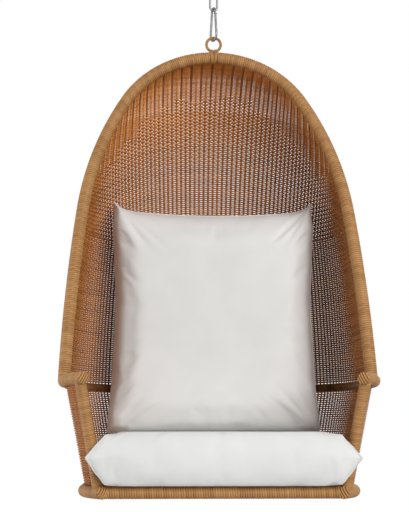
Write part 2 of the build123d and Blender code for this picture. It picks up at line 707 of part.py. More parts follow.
# Woven basket between the rails: round back, straight sides, and the toe-in up to the posts
wall_low = rail_wrapped_r + REST_GAP
wall_high = ARM_HEIGHT - rail_wrapped_r - REST_GAP
wall_offsets = course_offsets(round((wall_high - wall_low) / WEAVE_COURSE))
wall_outer, wall_inner = [], []
for step, offset in enumerate(wall_offsets):
    height = wall_low + (wall_high - wall_low) * step / (len(wall_offsets) - 1)
    wall_outer.append((wall_half_width(height) + offset, level(height)))
    wall_inner.append((wall_half_width(height) - offset, level(height)))
wall_corners = [*wall_outer, *reversed(wall_inner)]
foot_plane = Plane(origin=(0, RIM_FOOT_Y, 0), x_dir=(1, 0, 0), z_dir=(0, -1, 0))
post_margin = degrees(asin((post_wrapped_r + REST_GAP) / toe_radius(SEAT_HALF_WIDTH)))
with BuildPart() as woven_basket:
    with BuildSketch(back_plane):
        with BuildLine():
            Polyline(*wall_corners, close=True)
        make_face()
    extrude(amount=SIDE_LENGTH)
    with BuildSketch(foot_plane):
        with BuildLine():
            Polyline(*wall_corners, close=True)
        make_face()
    revolve(
        axis=Axis((toe_axis_x, RIM_FOOT_Y, 0), (0, 0, -1)),
        revolution_arc=TOE_SWEEP - post_margin,
    )
    mirror(about=Plane.YZ)
    with BuildSketch(back_plane):
        with BuildLine():
            Polyline(*wall_corners, close=True)
        make_face()
    revolve(axis=back_axis, revolution_arc=180)
finish(woven_basket, "woven_basket")

# Screws, heads sunk in the rails under the binding
with BuildPart() as frame_screws:
    for plane in all_screws:
        head_plane = plane.offset(SCREW_HEAD_SINK - RAIL_POLE_R)
        with BuildSketch(head_plane):
            Circle(SCREW_HEAD_R)
        extrude(amount=SCREW_HEAD_T)
        with BuildSketch(head_plane):
            Circle(SCREW_R)
        extrude(amount=RAIL_POLE_R - SCREW_HEAD_SINK + SCREW_REACH)
finish(frame_screws, "frame_screws")

# Seat cushion: a knife-edged pad, narrow between the posts, with corners that stand out in front of them
pad_low = rail_wrapped_r + REST_GAP
pad_seam = pad_low + PAD_SEAM
pad_top = pad_low + PAD_T
post_run = (post_head - post_foot) / ARM_HEIGHT
pad_half = post_foot.X + post_run.X * pad_seam - post_wrapped_r - PAD_SIDE_GAP
pad_ear_y = post_foot.Y + post_run.Y * pad_top - post_wrapped_r - PAD_EAR_GAP
pad_front_y = pad_ear_y - PAD_NOSE
pad_round = SEAT_HALF_WIDTH - max(rail_wrapped_r, WALL_INSET + WEAVE_T / 2) - PAD_BACK_GAP
pad_back_y = round_back_y + pad_round * sin(radians(PAD_BACK_TURN))


def pad_width_at(y):
    """Half width of the cushion behind the posts: straight sides, then the round back"""
    return min(pad_half, sqrt(pad_round**2 - max(0, y - round_back_y) ** 2))


# Place, half width and fullness of each section, from the back to the front
pad_length = pad_back_y - pad_front_y
pad_stations = []
for share, fullness in ((0.0, 0.12), (0.025, 0.55), (0.085, 0.88), (0.2, 1.0)):
    station_y = pad_back_y - share * pad_length
    pad_stations.append((station_y, pad_width_at(station_y), fullness))
pad_stations += [
    (RIM_FOOT_Y, pad_half, 1.0),
    (pad_ear_y, pad_half, 0.95),
    (pad_ear_y - PAD_EAR_DEPTH, pad_half + PAD_EAR, 0.86),
    (pad_ear_y - (PAD_NOSE + PAD_EAR_DEPTH) / 2, pad_half + PAD_EAR, 0.6),
    (pad_front_y, pad_half, 0.12),
]


def pad_solid(inset):
    """The seat cushion's body, drawn in by a wall thickness all round"""
    with BuildPart() as pad:
        for index, (y, half_width, fullness) in enumerate(pad_stations):
            if index == 0:
                y -= inset
            if index == len(pad_stations) - 1:
                y += inset
            tip = half_width - 2 * inset
            shoulder = tip - PAD_SHOULDER
            high = pad_seam + fullness * (pad_top - pad_seam) - inset
            low = pad_seam - fullness * PAD_SEAM + inset
            brow = high - fullness * PAD_CROWN
            with BuildSketch(Plane(origin=(0, y, level(0)), x_dir=(1, 0, 0), z_dir=(0, -1, 0))):
                with BuildLine():
                    Line((tip, pad_seam), (shoulder, brow))
                    ThreePointArc((shoulder, brow), (0, high), (-shoulder, brow))
                    Polyline(
                        (-shoulder, brow),
                        (-tip, pad_seam),
                        (-shoulder, low),
                        (shoulder, low),
                        (tip, pad_seam),
                    )
                make_face()
        loft(ruled=True)
    return pad.part


with BuildPart() as seat_cushion_cover:
    add(pad_solid(0))
    add(pad_solid(COVER_T), mode=Mode.SUBTRACT)
finish(seat_cushion_cover, "seat_cushion_cover")

with BuildPart() as seat_cushion_filling:
    add(pad_solid(COVER_T + FILL_GAP))
finish(seat_cushion_filling, "seat_cushion_filling")

# Back cushion: stands on the seat cushion, full in the middle, with drawn-in sides
pillow_foot = pad_top + PILLOW_FOOT_GAP
# Share of its height and fullness of each section, from the foot to the top
pillow_stations = [
    (0.0, 0.12),
    (0.06, 0.5),
    (0.22, 0.88),
    (0.5, 1.0),
    (0.78, 0.86),
    (0.94, 0.48),
    (1.0, 0.12),
]


def pillow_half_width(share):
    """Half width at a share of the height: a parabola through foot, waist and top"""
    foot = PILLOW_FOOT_HALF * (1 - share) * (1 - 2 * share)
    waist = PILLOW_WAIST_HALF * 4 * share * (1 - share)
    top = PILLOW_TOP_HALF * share * (2 * share - 1)
    return foot + waist + top


def pillow_solid(inset):
    """The back cushion's body, drawn in by a wall thickness all round"""
    with BuildPart() as pillow:
        for index, (share, fullness) in enumerate(pillow_stations):
            height = pillow_foot + share * PILLOW_HEIGHT
            if index == 0:
                height += inset
            if index == len(pillow_stations) - 1:
                height -= inset
            tip = pillow_half_width(share) - 3 * inset
            seam_y = PILLOW_LOW_Y + share * (PILLOW_HIGH_Y - PILLOW_LOW_Y)
            bulge = fullness * PILLOW_BULGE - inset
            with BuildSketch(Plane.XY.offset(level(height))):
                with BuildLine():
                    ThreePointArc((-tip, seam_y), (0, seam_y - bulge), (tip, seam_y))
                    ThreePointArc((tip, seam_y), (0, seam_y + bulge), (-tip, seam_y))
                make_face()
        loft(ruled=True)
    return pillow.part


with BuildPart() as back_cushion_cover:
    add(pillow_solid(0))
    add(pillow_solid(COVER_T), mode=Mode.SUBTRACT)
finish(back_cushion_cover, "back_cushion_cover")

with BuildPart() as back_cushion_filling:
    add(pillow_solid(COVER_T + FILL_GAP))
finish(back_cushion_filling, "back_cushion_filling")
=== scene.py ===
import json
import math

import bpy
import numpy as np
from bpy.props import FloatProperty, FloatVectorProperty, IntProperty, PointerProperty
from bpy.types import Operator, Panel, PropertyGroup
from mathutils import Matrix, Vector


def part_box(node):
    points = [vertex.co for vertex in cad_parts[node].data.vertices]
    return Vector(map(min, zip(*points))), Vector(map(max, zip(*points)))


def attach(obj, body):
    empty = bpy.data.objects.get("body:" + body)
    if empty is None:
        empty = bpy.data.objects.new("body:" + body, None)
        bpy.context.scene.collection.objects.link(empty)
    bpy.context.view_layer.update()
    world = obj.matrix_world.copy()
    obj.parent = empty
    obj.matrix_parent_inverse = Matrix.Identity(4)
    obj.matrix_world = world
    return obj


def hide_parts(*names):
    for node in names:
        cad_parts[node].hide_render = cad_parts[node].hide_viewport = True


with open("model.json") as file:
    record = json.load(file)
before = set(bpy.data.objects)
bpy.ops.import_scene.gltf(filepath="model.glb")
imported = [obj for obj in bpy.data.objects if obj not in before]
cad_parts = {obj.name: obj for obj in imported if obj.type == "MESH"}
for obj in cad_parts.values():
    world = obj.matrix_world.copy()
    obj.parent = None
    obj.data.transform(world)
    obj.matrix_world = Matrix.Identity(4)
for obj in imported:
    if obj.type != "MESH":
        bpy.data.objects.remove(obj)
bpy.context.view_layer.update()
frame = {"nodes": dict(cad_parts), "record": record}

# Looks of the hanging wicker chair: wound poles, woven hood, basket and seat, cushions, steel and studio.
# Lengths are in metres in the frame of the solids. Heights are counted up from the seat rail's centre plane.

bl_info = {
    "name": "Hanging wicker chair",
    "version": (1, 0, 0),
    "blender": (4, 5, 0),
    "location": "3D View > Sidebar > Chair",
    "description": "Builds the woven and wound looks of a hanging wicker chair over its solids",
    "category": "Object",
}


def middle_z(node):
    """Height of the centre of a node's box"""
    low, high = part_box(node)
    return (low[2] + high[2]) / 2


# Plan and outline, as the solids have them
SEAT_Z = middle_z("seat_rail")
RAIL_POLE = 0.011
SEAT_HALF = float(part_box("seat_rail")[1][0]) - RAIL_POLE
WALL_INSET = 0.006          # the basket's wall, inside the rails' centre lines
ARM_HEIGHT = 0.231
FOOT_Y = -0.190             # the rim's feet on the arm rail, where the rails start to toe in
SIDE_LENGTH = 0.162         # straight side, from the rim's foot back to the round back
BACK_Y = FOOT_Y + SIDE_LENGTH
TOE_RADIUS = 0.350          # bend of the arms towards the front
TOE_SWEEP = math.radians(28.0)
RAIL_OVERHANG = 0.015       # rail ends in front of the posts
RIM_TOP = 1.014
RIM_ARCS = ((0.241, 59.0), (0.720, 24.0))   # radius and sweep of the rim's top and shoulder
RIM_SIDE_SWEEP = 5.4
RIM_WRAPPED = 0.014
RAIL_WRAPPED = 0.013
POST_WRAPPED = 0.012
RING_HEIGHT = middle_z("hanging_ring") - SEAT_Z
RING_RADIUS = 0.017
RING_WRAPPED = 0.0035

UPRIGHT = np.array([0.0, 0.0, 1.0])
MIRROR_X = np.array([-1.0, 1.0, 1.0])


def level(height):
    """Z of a height above the seat rail's centre plane"""
    return height + SEAT_Z


def arc_line(start, heading, radius, sweep, step=0.001):
    """Points down an arc that starts at a heading below level and turns further down, with their headings"""
    count = max(2, int(abs(radius * sweep) / step))
    turn = heading + np.linspace(0, sweep, count)
    x = start[0] + radius * (np.sin(turn) - math.sin(heading))
    z = start[1] - radius * (math.cos(heading) - np.cos(turn))
    return np.column_stack([x, z]), turn


def rim_outline():
    """Right half of the rim in its own plane, from its top down to the arm rail, and where its arcs join"""
    spot, heading = (0.0, rim_slant), 0.0
    runs = []
    joins = [spot]
    for radius, sweep in RIM_ARCS:
        run, _ = arc_line(spot, heading, radius, math.radians(sweep))
        spot, heading = tuple(run[-1]), heading + math.radians(sweep)
        runs.append(run[:-1])
        joins.append(spot)
    side = math.radians(RIM_SIDE_SWEEP)
    radius = spot[1] / (math.cos(heading) - math.cos(heading + side))
    run, _ = arc_line(spot, heading, radius, side)
    runs.append(run)
    joins.append(tuple(run[-1]))
    return np.vstack(runs), joins


rim_slant = math.hypot(RIM_TOP - ARM_HEIGHT, FOOT_Y)
rim_upright = (RIM_TOP - ARM_HEIGHT) / rim_slant
rim_points, rim_joins = rim_outline()
ARM_HALF = float(rim_points[-1, 0])
TOE_AXIS_X = ARM_HALF - TOE_RADIUS
QUARTER = ARM_HALF * math.pi / 2


def hood_outline():
    """The hood's arch, from its foot up: tangent arcs through the rim's joins, seen upright, with headings"""
    spots = [(x, ARM_HEIGHT + along * rim_upright) for x, along in rim_joins]
    heading = 0.0
    points, headings = [], []
    for start, end in zip(spots, spots[1:]):
        chord_x, chord_z = end[0] - start[0], start[1] - end[1]
        half_turn = math.atan2(chord_z, chord_x) - heading
        radius = math.hypot(chord_x, chord_z) / (2 * math.sin(half_turn))
        run, turn = arc_line(start, heading, radius, 2 * half_turn, 0.0005)
        points.append(run)
        headings.append(turn)
        heading += 2 * half_turn
    return np.vstack(points)[::-1], np.concatenate(headings)[::-1]


hood_points, hood_headings = hood_outline()


def hood_half(height):
    """Half width of the hood's wall at a height"""
    return np.interp(height, hood_points[:, 1], hood_points[:, 0])


def hood_heading(height):
    """Heading of the hood's wall at a height: level at its top, near upright at its foot"""
    return np.interp(height, hood_points[:, 1], hood_headings)


def basket_half(height):
    """Half width of the basket's wall at a height"""
    return SEAT_HALF + (ARM_HALF - SEAT_HALF) * height / ARM_HEIGHT - WALL_INSET


def rim_y(height):
    """Y of the rim's plane at a height"""
    return FOOT_Y - FOOT_Y * (height - ARM_HEIGHT) / (RIM_TOP - ARM_HEIGHT)


def wall_spots(run, height, half_at):
    """Points and outward normals on a wall, at runs along the arm rail from the back's middle"""
    half = half_at(height)
    near = 0.001
    slope = (half_at(height - near) - half_at(height + near)) / (2 * near)
    side = np.where(run < 0, -1.0, 1.0)
    run = np.abs(run)
    turn = np.minimum(run, QUARTER) / ARM_HALF
    straight = np.clip(run - QUARTER, 0, SIDE_LENGTH)
    toe = np.maximum(run - QUARTER - SIDE_LENGTH, 0) / TOE_RADIUS
    toe_radius = half - TOE_AXIS_X
    x = half * np.sin(turn) - toe_radius * (1 - np.cos(toe))
    y = BACK_Y + half * np.cos(turn) - straight - toe_radius * np.sin(toe)
    out_x = np.where(toe > 0, np.cos(toe), np.sin(turn))
    out_y = np.where(toe > 0, -np.sin(toe), np.cos(turn))
    columns = np.broadcast_arrays(side * x, y, level(height), side * out_x, out_y, slope)
    spots = np.column_stack(columns)
    return spots[:, :3], unit(spots[:, 3:])


def seeded(name):
    """Random numbers that are the same for a piece in every run"""
    return np.random.default_rng(sum(map(ord, name)))


# Settings that a user may change
def length_setting(name, description, default):
    """A length in metres"""
    return FloatProperty(name=name, description=description, default=default, unit="LENGTH")


def colour_setting(name, description, default):
    """A colour in linear light"""
    return FloatVectorProperty(
        name=name, description=description, default=default, subtype="COLOR", min=0, max=1
    )


class WeaveSettings(PropertyGroup):
    """Sizes of the woven hood, basket and seat"""

    stake_pitch: length_setting("Stake pitch", "Distance between stakes along the arm rail", 0.0122)
    seat_pitch: length_setting("Seat stake pitch", "Distance between stakes of the seat", 0.014)
    low_pitch: length_setting("Lower row pitch", "Distance between rows below the seam", 0.0051)
    high_pitch: length_setting("Upper row pitch", "Distance between rows above the seam", 0.0053)
    top_pitch: length_setting("Top row pitch", "Distance between rows close to the top", 0.0046)
    basket_pitch: length_setting("Basket row pitch", "Distance between rows of the basket", 0.0050)
    seam_height: length_setting("Seam height", "Where level rows give way to slanting ones", 0.592)
    fine_height: length_setting("Fine reed height", "Where finer reeds begin, on the back's middle", 0.925)
    rib_depth: length_setting(
        "Ribbed border", "Depth behind the rim in which every row takes a stake on the same side", 0.150
    )
    # Painted light: the reeds near the hood's top are painted paler to stand in for light that the lamps
    # don't bring to the hood's underside
    top_painted_light: FloatProperty(
        name="Top tint", description="How much paler the reeds are near the hood's top", default=1.25
    )
    slant: FloatProperty(
        name="Row slant", description="Fall of the upper rows towards the front, per length", default=0.58
    )
    fan: FloatProperty(
        name="Stake fan", description="How far the upper stakes spread, per metre of rise", default=0.25
    )
    reed_height: length_setting("Reed height", "Half height of a reed above the seam", 0.0021)
    top_reed: length_setting("Top reed", "Half height of the finer reeds at the top", 0.00188)
    low_reed: length_setting("Lower reed", "Half height of a reed below the seam", 0.0024)
    basket_reed: length_setting("Basket reed", "Half height of a reed in the basket", 0.0019)
    reed_depth: length_setting("Reed depth", "Half thickness of a woven reed", 0.0013)
    stake_half: length_setting("Stake half width", "Half width of a stake", 0.0028)
    stake_depth: length_setting("Stake depth", "Half thickness of a stake", 0.0011)
    wave: length_setting("Wave", "How far a reed bends in and out round the stakes", 0.0023)
    sides: IntProperty(name="Reed sides", description="Faces round a reed", default=5, min=4, max=8)


class WindingSettings(PropertyGroup):
    """Sizes of the peel wound round the poles and the ring"""

    peel_width: length_setting("Peel width", "Width of the peel wound round the poles", 0.0050)
    post_peel_width: length_setting("Post peel", "Width of the finer peel on the front posts", 0.0034)
    ring_peel_width: length_setting("Ring peel width", "Width of the peel on the hanging ring", 0.0028)
    peel_rise: length_setting("Peel rise", "Crown of each turn of peel", 0.0009)
    fine_rise: FloatProperty(
        name="Fine rise", description="Crown of the finer peels, as a share of the peel's", default=0.6
    )
    sides: IntProperty(name="Pole sides", description="Faces round a wound pole", default=18, min=8, max=32)


class CushionSettings(PropertyGroup):
    """Cloth and filling of the two cushions"""

    cell: length_setting("Cloth cell", "Size of the cloth's cells", 0.006)
    pressure: FloatProperty(name="Pressure", description="Pressure of the filling", default=4.0)
    slack: FloatProperty(name="Slack", description="Spare cloth, as a share of its length", default=0.014)
    reach: length_setting("Reach", "Most that the filling may move the cloth", 0.012)
    steps: IntProperty(name="Steps", description="Frames that the cloth settles for", default=20, min=2)
    welt: length_setting("Welt", "Radius of the sewn edge", 0.0013)


class ColourSettings(PropertyGroup):
    """Colours of the finishes"""

    reed: colour_setting("Reed", "Woven reed", (0.53, 0.205, 0.048))
    reed_dark: colour_setting("Dark reed", "Darker reeds", (0.25, 0.082, 0.018))
    peel: colour_setting("Peel", "Wound peel", (0.57, 0.31, 0.115))
    peel_dark: colour_setting("Dark peel", "Darker turns of peel", (0.29, 0.13, 0.040))
    pole: colour_setting("Bare pole", "Bare cane pole", (0.20, 0.085, 0.028))
    steel: colour_setting("Steel", "Zinc-plated steel", (0.20, 0.20, 0.205))
    cotton: colour_setting("Cotton", "Cushion covers", (0.80, 0.80, 0.785))


# Shader groups and materials
def add_node(tree, kind, inputs=(), **traits):
    """New shader node with its own traits, and values for inputs given by name or number"""
    node = tree.nodes.new(kind)
    for trait, value in traits.items():
        setattr(node, trait, value)
    for socket, value in inputs:
        node.inputs[socket].default_value = value
    return node


def link_nodes(tree, start, start_socket, end, end_socket):
    """Join two nodes by socket name or number"""
    tree.links.new(start.outputs[start_socket], end.inputs[end_socket])


def noise_node(tree, scale, detail):
    """Noise on Object coordinates"""
    place = add_node(tree, "ShaderNodeTexCoord")
    noise = add_node(tree, "ShaderNodeTexNoise", [("Scale", scale), ("Detail", detail)])
    link_nodes(tree, place, "Object", noise, "Vector")
    return noise


def ramp_node(tree, noise, low_colour, high_colour):
    """Two colours spread over the middle of a noise's value"""
    ramp = add_node(tree, "ShaderNodeValToRGB")
    for stop, place, colour in zip(ramp.color_ramp.elements, (0.3, 0.7), (low_colour, high_colour)):
        stop.position = place
        stop.color = (*colour, 1)
    link_nodes(tree, noise, "Fac", ramp, "Fac")
    return ramp


def range_node(tree, noise, low, high):
    """A value spread over the middle of a noise's value"""
    spread = add_node(
        tree,
        "ShaderNodeMapRange",
        [("From Min", 0.3), ("From Max", 0.7), ("To Min", low), ("To Max", high)],
    )
    link_nodes(tree, noise, "Fac", spread, "Value")
    return spread


def shade_group(name, inputs, outputs):
    """Empty shader group with named sockets"""
    group = bpy.data.node_groups.new(name, "ShaderNodeTree")
    for label, kind, default in inputs:
        socket = group.interface.new_socket(name=label, in_out="INPUT", socket_type=kind)
        socket.default_value = default
    for label, kind in outputs:
        group.interface.new_socket(name=label, in_out="OUTPUT", socket_type=kind)
    return group, add_node(group, "NodeGroupInput"), add_node(group, "NodeGroupOutput")


def cane_group():
    """Colour, roughness and height of split cane: each strand's own tint, with mottling and fine fibres"""
    group, given, result = shade_group(
        "cane_fibre",
        [
            ("Light", "NodeSocketColor", (1, 1, 1, 1)),
            ("Dark", "NodeSocketColor", (0, 0, 0, 1)),
            ("Mottle Scale", "NodeSocketFloat", 60.0),
            ("Fibre Scale", "NodeSocketFloat", 900.0),
        ],
        [("Color", "NodeSocketColor"), ("Roughness", "NodeSocketFloat"), ("Height", "NodeSocketFloat")],
    )
    strand = add_node(group, "ShaderNodeAttribute", attribute_name="tint")
    mottle = noise_node(group, 1.0, 4.0)
    fibre = noise_node(group, 1.0, 2.0)
    link_nodes(group, given, "Mottle Scale", mottle, "Scale")
    link_nodes(group, given, "Fibre Scale", fibre, "Scale")
    share = add_node(group, "ShaderNodeMath", [(1, 0.55)], operation="MULTIPLY_ADD")
    link_nodes(group, mottle, "Fac", share, 0)
    link_nodes(group, strand, "Fac", share, 2)
    spread = add_node(group, "ShaderNodeMapRange", [("From Min", 0.2), ("From Max", 1.25)], clamp=False)
    link_nodes(group, share, 0, spread, "Value")
    tone = add_node(group, "ShaderNodeMix", data_type="RGBA", clamp_factor=False)
    link_nodes(group, spread, "Result", tone, "Factor")
    dark_in, light_in = [socket for socket in tone.inputs if socket.type == "RGBA"]
    tone_out = next(socket for socket in tone.outputs if socket.type == "RGBA")
    group.links.new(given.outputs["Dark"], dark_in)
    group.links.new(given.outputs["Light"], light_in)
    group.links.new(tone_out, result.inputs["Color"])
    rough = add_node(group, "ShaderNodeMapRange", [("To Min", 0.42), ("To Max", 0.62)])
    link_nodes(group, fibre, "Fac", rough, "Value")
    link_nodes(group, rough, "Result", result, "Roughness")
    link_nodes(group, fibre, "Fac", result, "Height")
    return group


def new_material(name, **values):
    """Material with plain values for its shader, ready for the maps"""
    material = bpy.data.materials.new(name)
    material.use_nodes = True
    shader = material.node_tree.nodes["Principled BSDF"]
    for label, value in values.items():
        shader.inputs[label.replace("_", " ")].default_value = value
    return material, material.node_tree, shader


def add_bump(tree, shader, source, socket, strength, distance):
    """Feed a height into the shader's normal"""
    bump = add_node(tree, "ShaderNodeBump", [("Strength", strength), ("Distance", distance)])
    link_nodes(tree, source, socket, bump, "Height")
    link_nodes(tree, bump, "Normal", shader, "Normal")


def scaled(colour, share):
    """A colour made darker or lighter"""
    return tuple(min(1.0, channel * share) for channel in colour)


def cane_material(name, light, dark, mottle, fibre):
    """Satin split cane in two tones"""
    material, tree, shader = new_material(name, Specular_IOR_Level=0.25)
    inputs = [("Light", (*light, 1)), ("Dark", (*dark, 1)), ("Mottle Scale", mottle), ("Fibre Scale", fibre)]
    group = bpy.data.node_groups.get("cane_fibre") or cane_group()
    cane = add_node(tree, "ShaderNodeGroup", inputs, node_tree=group)
    link_nodes(tree, cane, "Color", shader, "Base Color")
    link_nodes(tree, cane, "Roughness", shader, "Roughness")
    add_bump(tree, shader, cane, "Height", 0.35, 0.0004)
    return material


def blotched_material(name, colour, shades, blotch, grain, relief, rough=None, **values):
    """Shades of a colour in blotches that roughness may follow, over a fine grain in relief"""
    material, tree, shader = new_material(name, **values)
    noise = noise_node(tree, *blotch)
    ramp = ramp_node(tree, noise, scaled(colour, shades[0]), scaled(colour, shades[1]))
    link_nodes(tree, ramp, "Color", shader, "Base Color")
    if rough:
        link_nodes(tree, range_node(tree, noise, *rough), "Result", shader, "Roughness")
    add_bump(tree, shader, noise_node(tree, *grain), "Fac", *relief)
    return material


# Scale and detail of a blotch or grain, strength and depth of its relief, and the range of roughness
BARE_CANE = {
    "shades": (0.6, 1.45),
    "blotch": (45.0, 6.0),
    "grain": (420.0, 3.0),
    "relief": (0.25, 0.0005),
    "rough": (0.45, 0.62),
}
ZINC_PLATING = {
    "shades": (0.75, 1.2),
    "blotch": (220.0, 5.0),
    "grain": (900.0, 2.0),
    "relief": (0.02, 0.0001),
    "rough": (0.24, 0.46),
    "Metallic": 1.0,
}
PLAIN_COTTON = {
    "shades": (0.965, 1.015),
    "blotch": (14.0, 4.0),
    "grain": (900.0, 1.0),
    "relief": (0.2, 0.0004),
    "Roughness": 0.9,
    "Specular_IOR_Level": 0.2,
    "Sheen_Weight": 0.15,
    "Sheen_Roughness": 0.5,
}

# Material of each of the record's slots
FINISHES = {
    "steel": "plated_steel",
    "pole": "bare_cane",
    "peel": "wound_peel",
    "weave": "woven_reed",
    "cover": "cotton_cover",
    "filling": "cotton_cover",
}


def material_for(slot):
    """The scene's material for a slot, made on first use"""
    name = FINISHES[slot]
    colours = bpy.context.scene.chair_colours
    if name in bpy.data.materials:
        return bpy.data.materials[name]
    if slot == "weave":
        return cane_material(name, colours.reed, colours.reed_dark, 55.0, 700.0)
    if slot == "peel":
        return cane_material(name, colours.peel, colours.peel_dark, 40.0, 900.0)
    if slot == "pole":
        return blotched_material(name, colours.pole, **BARE_CANE)
    if slot == "steel":
        return blotched_material(name, colours.steel, **ZINC_PLATING)
    return blotched_material(name, colours.cotton, **PLAIN_COTTON)


# Mesh makers
def mesh_object(name, points, faces, tint=None):
    """Smooth object from points and faces, with a tint for each point"""
    mesh = bpy.data.meshes.new(name)
    mesh.from_pydata(points, [], faces)
    mesh.update()
    mesh.polygons.foreach_set("use_smooth", np.ones(len(mesh.polygons), dtype=bool))
    if tint is not None:
        store = mesh.attributes.new("tint", "FLOAT", "POINT")
        store.data.foreach_set("value", np.asarray(tint, dtype=np.float32))
    piece = bpy.data.objects.new(name, mesh)
    bpy.context.scene.collection.objects.link(piece)
    return piece


def finish(piece, slot):
    """Give a piece the material of its slot"""
    piece.data.materials.clear()
    piece.data.materials.append(material_for(slot))


def dress(piece, slot, body, nodes=()):
    """Give a piece its material and tie it to the frame"""
    finish(piece, slot)
    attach(piece, body)
    if nodes:
        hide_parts(*nodes)


def run_lengths(points):
    """Distance along a line of points"""
    return np.concatenate([[0.0], np.cumsum(np.linalg.norm(np.diff(points, axis=0), axis=1))])


def at_runs(runs, along, values):
    """Vectors at runs along a line, between the ones given for its points"""
    return np.stack([np.interp(runs, along, values[:, axis]) for axis in range(3)], axis=-1)


def unit(vectors):
    """Vectors of length one"""
    return vectors / np.maximum(np.linalg.norm(vectors, axis=-1, keepdims=True), 1e-12)


def grid_quads(grid):
    """Faces between the neighbours of a grid of point numbers"""
    corners = (grid[:-1, :-1], grid[:-1, 1:], grid[1:, 1:], grid[1:, :-1])
    return np.stack([corner.ravel() for corner in corners], axis=-1)


PEEL_CROWN = np.array([0.0, 0.75, 1.0, 0.75])   # a turn's rise across its width, from the groove
PEEL_TINT = (0.3, 0.75)                         # of the darkest and the palest turn
GROOVE_SHADE = 0.8                              # taken off the tint in the groove
END_TINT = 0.5


def wind_pole(name, line, normal, radius, width, rise, sides):
    """Peel wound in a helix round a flat line: a crowned turn for each peel width, closed at both ends"""
    along = run_lengths(line)
    per_turn = len(PEEL_CROWN)
    turns = math.ceil(along[-1] / width) + 1
    last_row = turns * per_turn
    row = np.arange(last_row + per_turn + 1)
    column = np.arange(sides)
    run = np.clip((row[:, None] / per_turn - 1 + column / sides) * width, 0.0, along[-1])
    tangent = at_runs(run, along, unit(np.gradient(line, along, axis=0)))
    across = unit(np.cross(unit(tangent), normal))
    angle = (2 * math.pi * column / sides)[None, :, None]
    reach = (radius - rise * (1 - PEEL_CROWN[row % per_turn]))[:, None, None]
    points = at_runs(run, along, line) + reach * (np.cos(angle) * normal + np.sin(angle) * across)
    points = np.vstack([points.reshape(-1, 3), line[:1], line[-1:]])
    start_hub, end_hub = len(points) - 2, len(points) - 1
    numbers = row[:, None] * sides + column
    next_turn = numbers[per_turn:, 0]
    quads = grid_quads(np.column_stack([numbers[:-per_turn], next_turn]))
    end_loop = np.concatenate([column, sides * np.arange(per_turn, 0, -1)])
    next_loop = np.roll(end_loop, -1)
    last = last_row * sides
    start_fan = np.column_stack([np.full(len(end_loop), start_hub), next_loop, end_loop])
    end_fan = np.column_stack([np.full(len(end_loop), end_hub), end_loop + last, next_loop + last])
    fans = np.vstack([start_fan, end_fan])
    dark, pale = PEEL_TINT
    turn_tint = dark + (pale - dark) * seeded(name).random(turns + 2)
    row_tint = turn_tint[row // per_turn] - np.where(row % per_turn == 0, GROOVE_SHADE, 0.0)
    tint = np.concatenate([np.repeat(row_tint, sides), [END_TINT, END_TINT]])
    used = np.unique(np.concatenate([quads.ravel(), fans.ravel()]))
    faces = np.searchsorted(used, quads).tolist() + np.searchsorted(used, fans).tolist()
    return mesh_object(name, points[used], faces, tint[used])


def strand_object(name, strands, half_width, half_depth, sides):
    """Reeds along lines: each strand has points, outward normals and a tint"""
    angle = (2 * math.pi * (np.arange(sides) + 0.5) / sides)[None, :, None]
    points, tints, faces = [], [], []
    base = 0
    for line, normal, tint in strands:
        beside = unit(np.cross(normal, unit(np.gradient(line, axis=0))))
        across = half_width * np.cos(angle) * beside[:, None, :]
        outward = half_depth * np.sin(angle) * normal[:, None, :]
        points.append((line[:, None, :] + (across + outward)).reshape(-1, 3))
        tints.append(np.repeat(np.broadcast_to(tint, len(line)), sides))
        numbers = base + np.arange(len(line) * sides).reshape(-1, sides)
        quads = grid_quads(np.column_stack([numbers, numbers[:, 0]]))
        faces.extend(quads[:, [0, 3, 2, 1]].tolist())
        faces.append(numbers[0].tolist())
        faces.append(numbers[-1, ::-1].tolist())
        base += numbers.size
    return mesh_object(name, np.vstack(points), faces, np.concatenate(tints))


# Lines of the poles
def rail_plan(half, overhang, step=0.002):
    """Horseshoe of a rail in plan, from its right front end round the back to its left one"""
    radius = half - TOE_AXIS_X
    toe = np.linspace(TOE_SWEEP + overhang / radius, 0, int(radius * TOE_SWEEP / step))
    right_toe = np.column_stack([TOE_AXIS_X + radius * np.cos(toe), FOOT_Y - radius * np.sin(toe)])
    sides = np.linspace(FOOT_Y, BACK_Y, int(SIDE_LENGTH / step))[1:]
    right_side = np.column_stack([np.full(len(sides), half), sides])
    turn = np.linspace(0, math.pi / 2, int(half * math.pi / 2 / step))[1:]
    right_back = np.column_stack([half * np.cos(turn), BACK_Y + half * np.sin(turn)])
    right = np.vstack([right_toe, right_side, right_back])
    left = right[::-1][1:] * np.array([-1.0, 1.0])
    return np.vstack([right, left])


def rail_line(half, height):
    """A whole rail in space"""
    plan = rail_plan(half, RAIL_OVERHANG)
    return np.column_stack([plan, np.full(len(plan), level(height))])


def rim_line():
    """Right half of the rim in space, from just under the lashing's edge down to the arm rail"""
    under_lashing = 0.0085
    points = rim_points[rim_points[:, 0] > under_lashing]
    share = points[:, 1] / rim_slant
    y = FOOT_Y * (1 - share)
    z = level(ARM_HEIGHT + (RIM_TOP - ARM_HEIGHT) * share)
    return np.column_stack([points[:, 0], y, z])


def post_ends():
    """Foot and head of the right front post"""
    ends = []
    for half, height in ((SEAT_HALF, 0.0), (ARM_HALF, ARM_HEIGHT)):
        radius = half - TOE_AXIS_X
        x = TOE_AXIS_X + radius * math.cos(TOE_SWEEP)
        y = FOOT_Y - radius * math.sin(TOE_SWEEP)
        ends.append(np.array([x, y, level(height)]))
    return ends


def straight_line(start, end, step=0.004):
    """Points along a straight pole"""
    count = max(2, int(np.linalg.norm(end - start) / step))
    return start + np.linspace(0, 1, count)[:, None] * (end - start)


